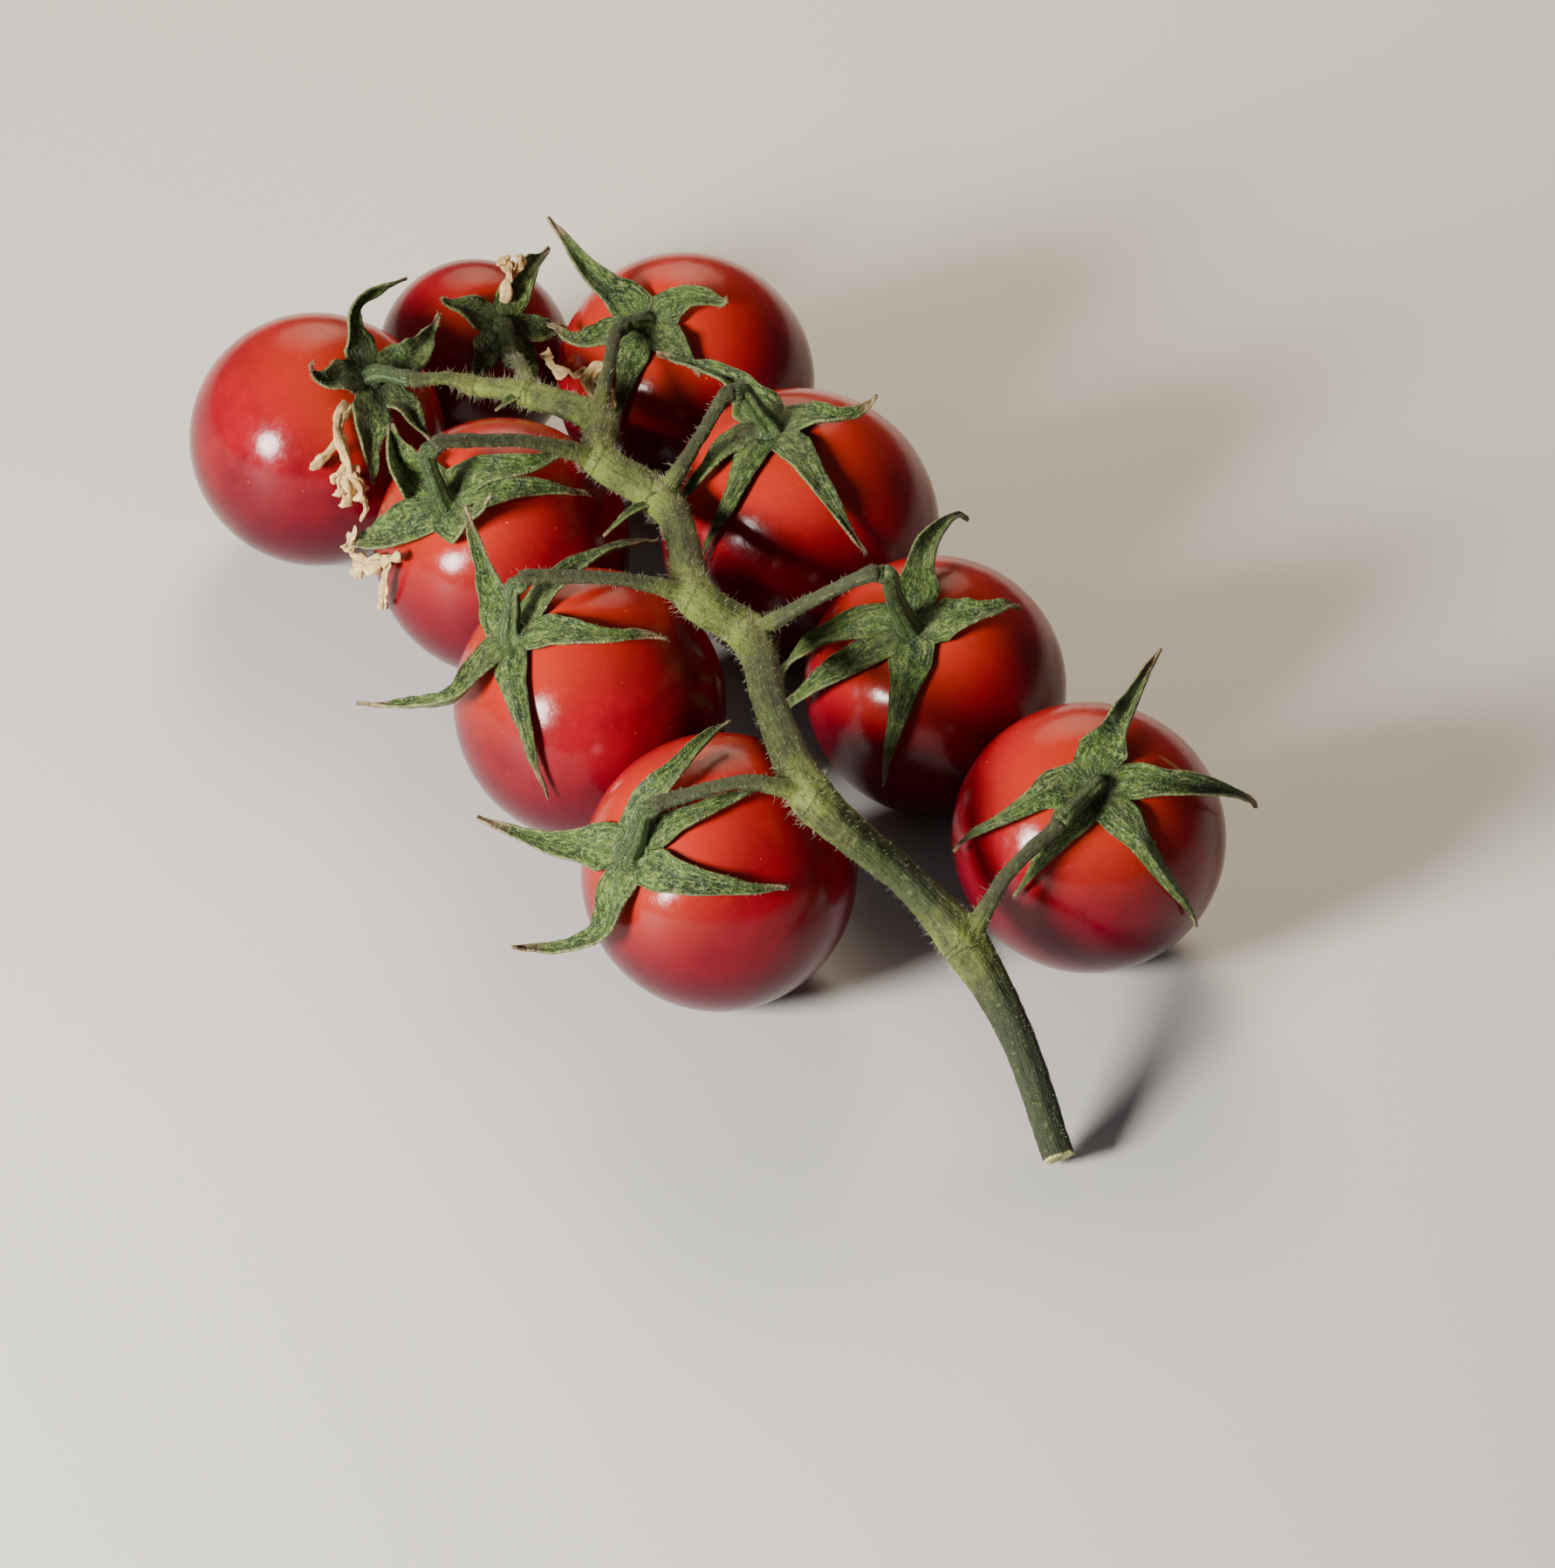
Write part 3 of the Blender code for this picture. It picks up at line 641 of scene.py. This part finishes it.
def withered_material():
    made, tree, shader = new_material("withered_look", Sheen_Weight=0.1, Subsurface_Weight=0.04)
    shader.inputs["Subsurface Radius"].default_value = (1.0, 0.7, 0.4)
    shader.inputs["Subsurface Scale"].default_value = 0.0005
    where = position(tree)
    along, across = attribute(tree, "along"), attribute(tree, "across")
    grain = combine_vector(tree, calculate(tree, "MULTIPLY", along, 3.0), calculate(tree, "MULTIPLY", across, 7.0))
    streaks = noise_texture(tree, grain, 1.6, 4.0, 0.7, 0.5)
    patches = noise_texture(tree, where, 700, 3.0, 0.6)
    cream = blend(tree, between(tree, streaks, 0.35, 0.65), (0.48, 0.25, 0.06), (0.94, 0.74, 0.33))
    cream = blend(tree, between(tree, patches, 0.53, 0.70, 0, 0.7), cream, (0.32, 0.14, 0.04))
    tree.links.new(cream, shader.inputs["Base Color"])
    tree.links.new(between(tree, streaks, 0.3, 0.7, 0.70, 0.90), shader.inputs["Roughness"])
    bump(tree, shader, (streaks, 0.00020), (patches, 0.00010))
    return made


def hair_material():
    made, tree, shader = new_material("hair_look", Roughness=0.45)
    tint = noise_texture(tree, position(tree), 300, 1.0)
    pale = blend(tree, between(tree, tint, 0.4, 0.7), (0.36, 0.39, 0.22), (0.60, 0.60, 0.42))
    tree.links.new(pale, shader.inputs["Base Color"])
    return made


def floor_material():
    made, tree, shader = new_material("floor_look", Roughness=0.6)
    shade = noise_texture(tree, position(tree), 3.0, 2.0)
    pale = blend(tree, between(tree, shade, 0.3, 0.7), (0.62, 0.605, 0.58), (0.66, 0.645, 0.62))
    tree.links.new(pale, shader.inputs["Base Color"])
    return made


# Pieces


def tomato(number, look):
    """The fruit: slightly lobed, dimpled at the stem, with a small scar at its other end, flat where it rests."""
    radius = tomato_radius(number)
    dice = random.Random(100 + number)
    wide_phase, lobe_phase = dice.uniform(0, 2 * pi), dice.uniform(0, 2 * pi)
    lobes = dice.choice((3, 4, 5))
    polar = np.linspace(0, pi, SKIN_RINGS + 1)[1:-1]
    turn = np.linspace(0, 2 * pi, SKIN_SIDES, endpoint=False)
    polar_grid, turn_grid = np.meshgrid(polar, turn, indexing="ij")
    distance = radius - DIMPLE_DEPTH * np.exp(-((polar_grid / DIMPLE_HALF_ANGLE) ** 2))
    distance -= 0.35 * MM * np.exp(-(((pi - polar_grid) / 0.10) ** 2))
    distance += 0.10 * MM * np.cos(2 * turn_grid + wide_phase) * np.sin(polar_grid) ** 2
    distance += 0.12 * MM * np.cos(lobes * turn_grid + lobe_phase) * np.exp(-((polar_grid / 0.75) ** 2)) * np.sin(polar_grid)
    ring = distance * np.sin(polar_grid)
    local = np.stack([ring * np.cos(turn_grid), ring * np.sin(turn_grid), distance * np.cos(polar_grid)], axis=-1)
    poles = np.array([[0, 0, radius - DIMPLE_DEPTH], [0, 0, -(radius - 0.35 * MM)]])
    local = np.vstack([local.reshape(-1, 3), poles])
    matrix = np.array(tomato_frame(number))
    verts = local @ matrix[:3, :3].T + matrix[:3, 3]
    verts[:, 2] = np.maximum(verts[:, 2], 0.0)
    rings = SKIN_RINGS - 1
    faces = []
    for band in range(rings - 1):
        for side in range(SKIN_SIDES):
            a, b = band * SKIN_SIDES + side, band * SKIN_SIDES + (side + 1) % SKIN_SIDES
            faces.append((a, a + SKIN_SIDES, b + SKIN_SIDES, b))
    top, bottom = rings * SKIN_SIDES, rings * SKIN_SIDES + 1
    last = (rings - 1) * SKIN_SIDES
    for side in range(SKIN_SIDES):
        after = (side + 1) % SKIN_SIDES
        faces.append((top, side, after))
        faces.append((bottom, last + after, last + side))
    body = mesh_object(f"tomato_skin_{number}", verts, faces, look)
    store(body.data, "polar", np.append(np.repeat(polar / pi, SKIN_SIDES), (0.0, 1.0)))
    return place_piece(body, "tomato_skin", f"tomato_{number}")


def catmull(points, count):
    """count points evenly along a smooth curve through the given ones."""
    dense, _ = smooth_route(points, [0] * len(points), np.linalg.norm(np.ptp(points, axis=0)) / 60)
    lengths = np.concatenate([[0], np.cumsum(np.linalg.norm(np.diff(dense, axis=0), axis=1))])
    wanted = np.linspace(0, lengths[-1], count)
    return np.column_stack([np.interp(wanted, lengths, dense[:, axis]) for axis in range(3)])


def flat_point(heading, reach, lift):
    """Heading, reach and lift in mm as a point over the unrolled skin, in metres."""
    return (reach * MM * cos(radians(heading)), reach * MM * sin(radians(heading)), lift * MM)


def on_skin(radius, flat):
    """A point over the unrolled skin, in the tomato's own axes."""
    x, y, lift = flat
    return np.array(over_skin(radius, degrees(atan2(y, x)), (x * x + y * y) ** 0.5, lift))


def curled(points, normals, tangents, curl):
    """The path with its last third bent by curl degrees about its own width."""
    start = int(len(points) * 0.66)
    out = points.copy()
    for place in range(start, len(points) - 1):
        share = (place - start + 1) / (len(points) - start)
        axis = Vector(np.cross(tangents[place], normals[place]))
        step = Vector(points[place + 1] - points[place])
        step.rotate(Matrix.Rotation(radians(curl * share), 3, axis))
        out[place + 1] = out[place] + np.array(step)
    return out


def sepal_grid(radius, web, left, root, right, spec, dice):
    """A sepal's vertices as a grid, first the rings of the web, and its attributes along and across."""
    middle, tip, width, rise, twist, curl = spec
    base = flat_point(root, web / MM, 0.15)
    flat = catmull([(0, 0, 0), base, flat_point(*middle), flat_point(*tip)], 120)
    reach = np.hypot(flat[:, 0], flat[:, 1])
    edge_index = int(np.argmax(reach >= web))
    sides = np.linspace(-1, 1, SEPAL_COLUMNS + 1)
    grid, along = [], []
    for ring in range(WEB_RINGS + 1):
        out = web * ring / WEB_RINGS
        centre_lift = np.interp(out, reach[: edge_index + 1], flat[: edge_index + 1, 2])
        row = []
        for side in sides:
            heading = root + (right - root) * side if side > 0 else root + (root - left) * side
            lift = 0.15 * MM * (out / web) * abs(side) + centre_lift * (1 - abs(side))
            lift += 0.25 * MM * (out / web) * (1 - abs(side)) ** 2
            row.append(over_skin(radius, heading, out, lift + SEPAL_CLEARANCE))
        grid.append(row)
        along.append(0.12 * ring / WEB_RINGS)
    free = flat[edge_index:]
    pick = np.linspace(0, len(free) - 1, SEPAL_STATIONS + 1)
    free = np.column_stack([np.interp(pick, np.arange(len(free)), free[:, axis]) for axis in range(3)])
    free[:, 2] += SEPAL_CLEARANCE
    line = np.array([on_skin(radius, point) for point in free])
    normals, tangents = carried_normals(line, unit(line[0]))
    line = curled(line, normals, tangents, curl)
    normals, tangents = carried_normals(line, normals[0])
    across = np.cross(normals, tangents)
    web_half = radians(right - left) / 2 * web
    waves, wave_phase = dice.uniform(1.5, 3.0), dice.uniform(0, 2 * pi)
    crease = dice.uniform(-0.2, 0.2)
    fold = max(SEPAL_FOLD * rise, LEAST_FOLD) if rise > 0 else min(SEPAL_FOLD * rise, -LEAST_FOLD)
    seed = Vector((dice.uniform(0, 50), dice.uniform(0, 50), dice.uniform(0, 50)))
    for station in range(1, SEPAL_STATIONS + 1):
        u = station / SEPAL_STATIONS
        natural = SEPAL_SHARE * width * MM / 2 * (0.05 + 0.95 * (1 - u) ** 1.3)
        ease = min(1, u * 5)
        half = web_half + (natural - web_half) * ease * ease * (3 - 2 * ease)
        turned = radians(twist * u)
        wide = across[station] * cos(turned) + normals[station] * sin(turned)
        up = normals[station] * cos(turned) - across[station] * sin(turned)
        row = []
        for side in sides:
            height = fold * half * (abs(side) ** 1.2 - 0.35) * min(1, u * 3)
            height += 0.25 * MM * (1 - abs(side)) ** 2 * (1 - u)
            height += 0.16 * MM * side * abs(side) * sin(2 * pi * waves * u + wave_phase) * min(1, u * 3)
            point = line[station] + wide * half * (side + crease * 0.1 * u) + up * height
            crumple = noise.noise(Vector(point) / (1.5 * MM) + seed) * 0.20 * MM * min(1, u * 4)
            row.append(point + up * crumple)
        grid.append(row)
        along.append(0.12 + 0.88 * u)
    return np.array([[list(point) for point in row] for row in grid]), np.array(along), sides


def star(number):
    """Vertices, faces and attributes of a calyx: five sepals grown together round the stem."""
    radius = tomato_radius(number)
    specs = SEPALS[number]
    web = WEB_RADIUS * WEB_SHARES.get(number, 1)
    dice = random.Random(200 + number)
    middles = [spec[0][0] for spec in specs]
    first = sum(middles[place] - 72 * place for place in range(5)) / 5
    roots = [0.45 * (first + 72 * place) + 0.55 * middles[place] for place in range(5)]
    edges = [(roots[place - 1] - (360 if place == 0 else 0) + roots[place]) / 2 for place in range(5)]
    edges.append(edges[0] + 360)
    verts, faces, along, across, dry = [], [], [], [], []
    for place, spec in enumerate(specs):
        left, right = edges[place], edges[place + 1]
        grid, stations, sides = sepal_grid(radius, web, left, roots[place], right, spec, dice)
        rows, columns = grid.shape[:2]
        start = len(verts)
        verts += list(grid.reshape(-1, 3))
        along += list(np.repeat(stations, columns))
        across += list(np.tile(sides, rows))
        dry += [dice.uniform(-0.06, 0.14)] * (rows * columns)
        for row in range(rows - 1):
            for column in range(columns - 1):
                a = start + row * columns + column
                faces.append((a, a + columns, a + columns + 1, a + 1))
    return np.array(verts), faces, along, across, dry


def calyx(number, look):
    """The star of sepals, and the short stem above it up to the knuckle."""
    matrix = np.array(tomato_frame(number))
    verts, faces, along, across, dry = star(number)
    leaves = mesh_object(f"sepals_{number}", verts @ matrix[:3, :3].T + matrix[:3, 3], faces, look)
    for name, values in (("along", along), ("across", across), ("dry", dry)):
        store(leaves.data, name, values)
    welded = bmesh.new()
    welded.from_mesh(leaves.data)
    bmesh.ops.remove_doubles(welded, verts=welded.verts, dist=0.004 * MM)
    welded.to_mesh(leaves.data)
    welded.free()
    thick = leaves.modifiers.new("thickness", "SOLIDIFY")
    thick.thickness = SEPAL_THICKNESS
    thick.offset = -1
    with_modifiers_applied(leaves)
    place_piece(leaves, "sepal_green", f"calyx_{number}")
    place_piece(calyx_stem(number, look), "sepal_green", f"calyx_{number}")
    return leaves


def calyx_stem(number, look):
    start = STALK_PLACES[STEMS[number][0]]
    local = tomato_frame(number)
    foot, bend, top = calyx_stem_route(number)
    place, through = knuckle(number, start)
    foot_up = Vector((0, 0, 0.8 * MM))
    wide = STEM_FEET[number] * MM
    route = [
        (local @ (foot - foot_up * 0.4), wide * 1.25),
        (local @ (foot + foot_up), wide * 0.86),
        (local @ bend, STEM_RADIUS * 0.5 + wide * 0.34),
        (place + through * KNUCKLE_LENGTH, KNUCKLE_RADIUS * 0.68),
        (place + through * 0.45 * MM, KNUCKLE_RADIUS * 0.76),
        (place - through * 0.1 * MM, KNUCKLE_RADIUS * 0.70),
        (place - through * 0.5 * MM, KNUCKLE_RADIUS * 0.50),
    ]
    points, radii = smooth_route([point for point, _ in route], [radius for _, radius in route], 0.22 * MM)
    verts, faces = tube_shell(points, radii, 28, ribs=7, depth=0.045)
    stem = mesh_object(f"calyx_stem_{number}", verts, faces, look)
    roughen(stem.data, 0.10 * MM, 1.3 * MM, number)
    around = np.tile(np.linspace(0, 2 * pi, 28, endpoint=False), len(points))
    store(stem.data, "along", np.full(len(verts), 0.03))
    store(stem.data, "across", np.append(np.cos(around) * 0.8, (0.0, 0.0)))
    store(stem.data, "dry", np.full(len(verts), -0.05))
    return stem


def roughen(mesh, depth, size, seed):
    """Moves vertices along their normals by smooth noise."""
    places, normals = vertex_array(mesh, "co"), vertex_array(mesh, "normal")
    shift = Vector((seed * 7.3, seed * 3.1, 0))
    lifts = np.array([noise.noise(Vector(place) / size + shift) for place in places])
    lifts += 0.4 * np.array([noise.noise(Vector(place) / size * 2.7 + shift) for place in places])
    mesh.vertices.foreach_set("co", (places + normals * (lifts * depth)[:, None]).ravel())
    mesh.update()


def stalk(look):
    """The main stem with its nine stems, remeshed into one skin with soft forks."""
    route = rachis_route()
    main_points, main_radii = smooth_route([point for _, point, _ in route], [radius * 0.93 for _, _, radius in route], 0.6 * MM)
    for name, point, radius in route:
        if name.startswith("node"):
            reach = np.linalg.norm(main_points - np.array(point), axis=1)
            main_radii += radius * 0.10 * np.exp(-((reach / (2.6 * MM)) ** 2))
    shells = [tube_shell(main_points, main_radii, 28, ribs=7, depth=0.05)]
    lines = [(main_points, main_radii, 0.0)]
    for number, (node, _, _, _, arch) in STEMS.items():
        start = STALK_PLACES[node]
        end, through = knuckle(number, start)
        crest = start.lerp(end, 0.5) + Vector((0, 0, arch * MM))
        stem = [
            (start, STEM_RADIUS * 1.35),
            (start.lerp(crest, 0.5) + Vector((0, 0, arch * MM * 0.25)), STEM_RADIUS * 0.98),
            (crest, STEM_RADIUS * 0.80),
            (end - through * KNUCKLE_LENGTH, KNUCKLE_RADIUS * 0.64),
            (end - through * 0.45 * MM, KNUCKLE_RADIUS * 0.74),
            (end, KNUCKLE_RADIUS * 0.56),
        ]
        points, radii = smooth_route([point for point, _ in stem], [radius for _, radius in stem], 0.4 * MM)
        shells.append(tube_shell(points, radii, 20, ribs=6, depth=0.06))
        lines.append((points, radii, 1.0))
    body = mesh_object("stalk_skin", *joined(shells), look)
    remesh = body.modifiers.new("skin", "REMESH")
    remesh.mode = "VOXEL"
    remesh.voxel_size = 0.25 * MM
    soften = body.modifiers.new("soften", "SMOOTH")
    soften.factor = 0.5
    soften.iterations = 4
    with_modifiers_applied(body)
    if not body.data.materials:
        body.data.materials.append(look)
    roughen(body.data, 0.12 * MM, 1.5 * MM, 3)
    stalk_attributes(body.data, lines, route)
    return place_piece(body, "stalk_green", "stalk")


def stalk_attributes(mesh, lines, route):
    """How far along and around its stem each vertex lies, and how near to a node or to the cut end."""
    samples = [(point, index, place) for index, (points, _, _) in enumerate(lines) for place, point in enumerate(points)]
    tree = kdtree.KDTree(len(samples))
    for place, (point, _, _) in enumerate(samples):
        tree.insert(point, place)
    tree.balance()
    frames = [carried_normals(points, (0.01, 0.02, 1.0)) for points, _, _ in lines]
    lengths = [np.concatenate([[0], np.cumsum(np.linalg.norm(np.diff(points, axis=0), axis=1))]) for points, _, _ in lines]
    nodes = [np.array(point) for name, point, _ in route if name.startswith("node") or name == "last"]
    end, after = main_end(lines)
    places = vertex_array(mesh, "co")
    along, around, twig, node, cut = (np.zeros(len(places)) for _ in range(5))
    for row, place in enumerate(places):
        _, found, _ = tree.find(place)
        _, index, step = samples[found]
        normals, tangents = frames[index]
        offset = place - lines[index][0][step]
        side = np.cross(tangents[step], normals[step])
        along[row] = lengths[index][step] + offset.dot(tangents[step])
        around[row] = 2 * cos(atan2(offset.dot(normals[step]), offset.dot(side)))
        twig[row] = lines[index][2]
        node[row] = max(exp(-((np.linalg.norm(place - near) / (4.2 * MM)) ** 2)) for near in nodes)
        cut[row] = 1.0 if (place - end).dot(after) < 0.18 * MM and index == 0 else 0.0
    for name, values in (("along", along), ("around", around), ("twig", twig), ("node", node), ("cut", cut)):
        store(mesh, name, values)


def main_end(lines):
    points = lines[0][0]
    return points[0], unit(points[1] - points[0])


def bract_leaf(name, node, heading, length, drop, look):
    """A small pointed leaf, creased along its middle."""
    start = STALK_PLACES[node]
    tip = start + direction(heading) * length * MM - Vector((0, 0, drop * MM))
    half_way = start.lerp(tip, 0.5) + Vector((0, 0, drop * MM / 2 + 0.3 * MM))
    points = catmull([tuple(start), tuple(half_way), tuple(tip)], 22)
    normals, tangents = carried_normals(points, (0, 0, 1))
    across = np.cross(normals, tangents)
    sides = np.linspace(-1, 1, 9)
    verts, along = [], []
    for station, point in enumerate(points):
        u = station / (len(points) - 1)
        half = 0.64 * MM * (1 - 0.96 * u) ** 0.8 * (0.75 + 0.6 * u)
        for side in sides:
            height = 0.45 * half * abs(side) ** 1.4 + 0.10 * MM * side * sin(9 * u)
            verts.append(point + across[station] * half * side + normals[station] * height)
            along.append(0.2 + 0.8 * u)
    faces = []
    for row in range(len(points) - 1):
        for column in range(8):
            a = row * 9 + column
            faces.append((a, a + 9, a + 10, a + 1))
    leaf = mesh_object(name, verts, faces, look)
    store(leaf.data, "along", along)
    store(leaf.data, "across", np.tile(sides, len(points)))
    store(leaf.data, "dry", np.full(len(verts), -0.02))
    thick = leaf.modifiers.new("thickness", "SOLIDIFY")
    thick.thickness = 0.3 * MM
    thick.offset = -1
    with_modifiers_applied(leaf)
    return place_piece(leaf, "stalk_green", "stalk")


def crumpled_strand(number, width, blob, stations, dice):
    """A dried petal: a strand over the skin, folded lengthwise, twisted and crumpled, with a swollen end."""
    radius = tomato_radius(number)
    flat = catmull([flat_point(*station) for station in stations], STRAND_RINGS)
    line = np.array([on_skin(radius, point) for point in flat])
    normals, tangents = carried_normals(line, unit(line[0]))
    across = np.cross(normals, tangents)
    turns = np.linspace(0, 2 * pi, STRAND_SIDES, endpoint=False)
    twist, fold_phase = dice.uniform(2.0, 4.5), dice.uniform(0, 2 * pi)
    seed = Vector((dice.uniform(0, 50), dice.uniform(0, 50), dice.uniform(0, 50)))
    verts, along = [], []
    for ring, centre in enumerate(line):
        u = ring / (STRAND_RINGS - 1)
        closing = (1 - abs(2 * u - 1) ** 5) ** 0.5
        thick = width * MM / 2 * (0.72 + 0.15 * sin(11 * u + fold_phase) + blob * exp(-(((u - 0.86) / 0.13) ** 2)))
        sway = 0.25 * MM * sin(7 * u + fold_phase)
        for turn in turns:
            folded = 1 + 0.50 * cos(2 * turn + twist * u) + 0.26 * cos(5 * turn - twist * u + fold_phase)
            out = across[ring] * (cos(turn) * thick * folded * closing + sway)
            up = normals[ring] * sin(turn) * thick * folded * closing * 0.75
            point = centre + out + up
            crumple = [noise.noise(Vector(point) / (0.8 * MM) + seed + apart) for apart in CRUMPLE_OFFSETS]
            verts.append(point + np.array(crumple) * (0.10 + 0.16 * u) * MM)
            along.append(u)
    faces = []
    for ring in range(STRAND_RINGS - 1):
        for side in range(STRAND_SIDES):
            a, b = ring * STRAND_SIDES + side, ring * STRAND_SIDES + (side + 1) % STRAND_SIDES
            faces.append((a, b, b + STRAND_SIDES, a + STRAND_SIDES))
    faces.append(tuple(reversed(range(STRAND_SIDES))))
    faces.append(tuple(range((STRAND_RINGS - 1) * STRAND_SIDES, STRAND_RINGS * STRAND_SIDES)))
    return (verts, faces), along, np.tile(np.cos(turns), STRAND_RINGS)


def dry_flower(number, look):
    dice = random.Random(300 + number)
    shells, along, across = [], [], []
    for width, blob, stations in FLOWERS[number]:
        shell, more_along, more_across = crumpled_strand(number, width, blob, stations, dice)
        shells.append(shell)
        along += list(more_along)
        across += list(more_across)
    verts, faces = joined(shells)
    matrix = np.array(tomato_frame(number))
    flower = mesh_object(f"dry_flower_{number}", np.array(verts) @ matrix[:3, :3].T + matrix[:3, 3], faces, look)
    store(flower.data, "along", along)
    store(flower.data, "across", across)
    return place_piece(flower, "withered_cream", f"withered_flower_{number}")


def hairs(name, source, count, shortest, longest, look, slot, seed, weights=None):
    """Fine hairs, each a thin pointed tetrahedron, standing on a piece's surface."""
    dice = np.random.default_rng(seed)
    mesh = source.data
    places, normals = vertex_array(mesh, "co"), vertex_array(mesh, "normal")
    chance = None if weights is None else weights / weights.sum()
    picked = dice.choice(len(places), count, p=chance)
    lean = unit(normals[picked] + dice.normal(0, 0.32, (count, 3)))
    length = dice.uniform(shortest, longest, count) * MM
    side = unit(np.cross(lean, dice.normal(0, 1, (count, 3))))
    other = np.cross(lean, side)
    root = places[picked] - lean * 0.03 * MM
    thick = 0.017 * MM
    corners = [root + (side * cos(turn) + other * sin(turn)) * thick for turn in (0, 2 * pi / 3, 4 * pi / 3)]
    tips = root + lean * length[:, None]
    verts = np.stack([*corners, tips], axis=1).reshape(-1, 3)
    faces = []
    for hair in range(count):
        a = hair * 4
        faces += [(a, a + 1, a + 3), (a + 1, a + 2, a + 3), (a + 2, a, a + 3), (a + 2, a + 1, a)]
    made = mesh_object(name, verts, faces, look)
    return place_piece(made, slot)


# Scene


def camera_axes():
    azimuth = radians(CAMERA_AZIMUTH)
    right = Vector((cos(azimuth), sin(azimuth), 0))
    ahead = Vector((-sin(azimuth), cos(azimuth), 0))
    return right, ahead


def camera():
    _, ahead = camera_axes()
    tilt = radians(CAMERA_ELEVATION)
    back = -ahead * cos(tilt) + Vector((0, 0, sin(tilt)))
    data = bpy.data.cameras.new("camera")
    data.lens = CAMERA_LENS
    data.sensor_width = 36
    data.clip_start = 0.01
    made = bpy.data.objects.new("camera", data)
    made.location = CAMERA_TARGET + back * CAMERA_DISTANCE
    made.rotation_mode = "QUATERNION"
    made.rotation_quaternion = back.to_track_quat("Z", "Y")
    bpy.context.scene.collection.objects.link(made)
    bpy.context.scene.camera = made


def softbox(name, right, ahead, up, distance, size, power, colour=(1, 1, 1)):
    """A round area light that faces the truss from a direction given in the camera's own right and ahead."""
    camera_right, camera_ahead = camera_axes()
    towards = (camera_right * right + camera_ahead * ahead + Vector((0, 0, up))).normalized()
    data = bpy.data.lights.new(name, "AREA")
    data.shape = "DISK"
    data.size = size
    data.energy = power
    data.color = colour
    made = bpy.data.objects.new(name, data)
    made.location = CAMERA_TARGET + towards * distance
    made.rotation_mode = "QUATERNION"
    made.rotation_quaternion = towards.to_track_quat("Z", "Y")
    bpy.context.scene.collection.objects.link(made)


def surroundings():
    floor = mesh_object(
        "floor", [(-3, -3, 0), (3, -3, 0), (3, 3, 0), (-3, 3, 0)], [(0, 1, 2, 3)], floor_material()
    )
    floor.location.z = -0.02 * MM
    world = bpy.data.worlds.new("studio")
    world.use_nodes = True
    world.node_tree.nodes["Background"].inputs["Color"].default_value = (0.9, 0.94, 1.0, 1)
    world.node_tree.nodes["Background"].inputs["Strength"].default_value = 0.11
    bpy.context.scene.world = world
    softbox("key", -0.71, -0.60, 0.39, 0.60, 0.18, 11.5, (1.0, 0.97, 0.93))
    for name, size, power in BACK_LIGHTS:
        softbox(name, -0.06, 0.83, 0.60, 0.80, size, power, (1.0, 0.84, 0.60))


STALK_PLACES = {name: point for name, point, _ in rachis_route()}

camera()
surroundings()
SKIN, LEAF, STALK = tomato_material(), leaf_material(), stalk_material()
CREAM, HAIR = withered_material(), hair_material()
stalk_skin = stalk(STALK)
node_share = np.empty(len(stalk_skin.data.vertices), np.float32)
stalk_skin.data.attributes["node"].data.foreach_get("value", node_share)
hairs("stalk_hairs", stalk_skin, 4600, 0.25, 0.80, HAIR, "stalk_green", 11, 0.4 + node_share)
hairs("fork_hairs", stalk_skin, 900, 0.8, 1.5, HAIR, "stalk_green", 12, node_share**2)
for place, (node, heading, length, drop) in enumerate(BRACTS, 1):
    bract_leaf(f"bract_leaf_{place}", node, heading, length, drop, LEAF)
for number in TOMATOES:
    tomato(number, SKIN)
    sepals = calyx(number, LEAF)
    hairs(f"sepal_hairs_{number}", sepals, 900, 0.12, 0.40, HAIR, "sepal_green", 20 + number)
    if number in FLOWERS:
        dry_flower(number, CREAM)
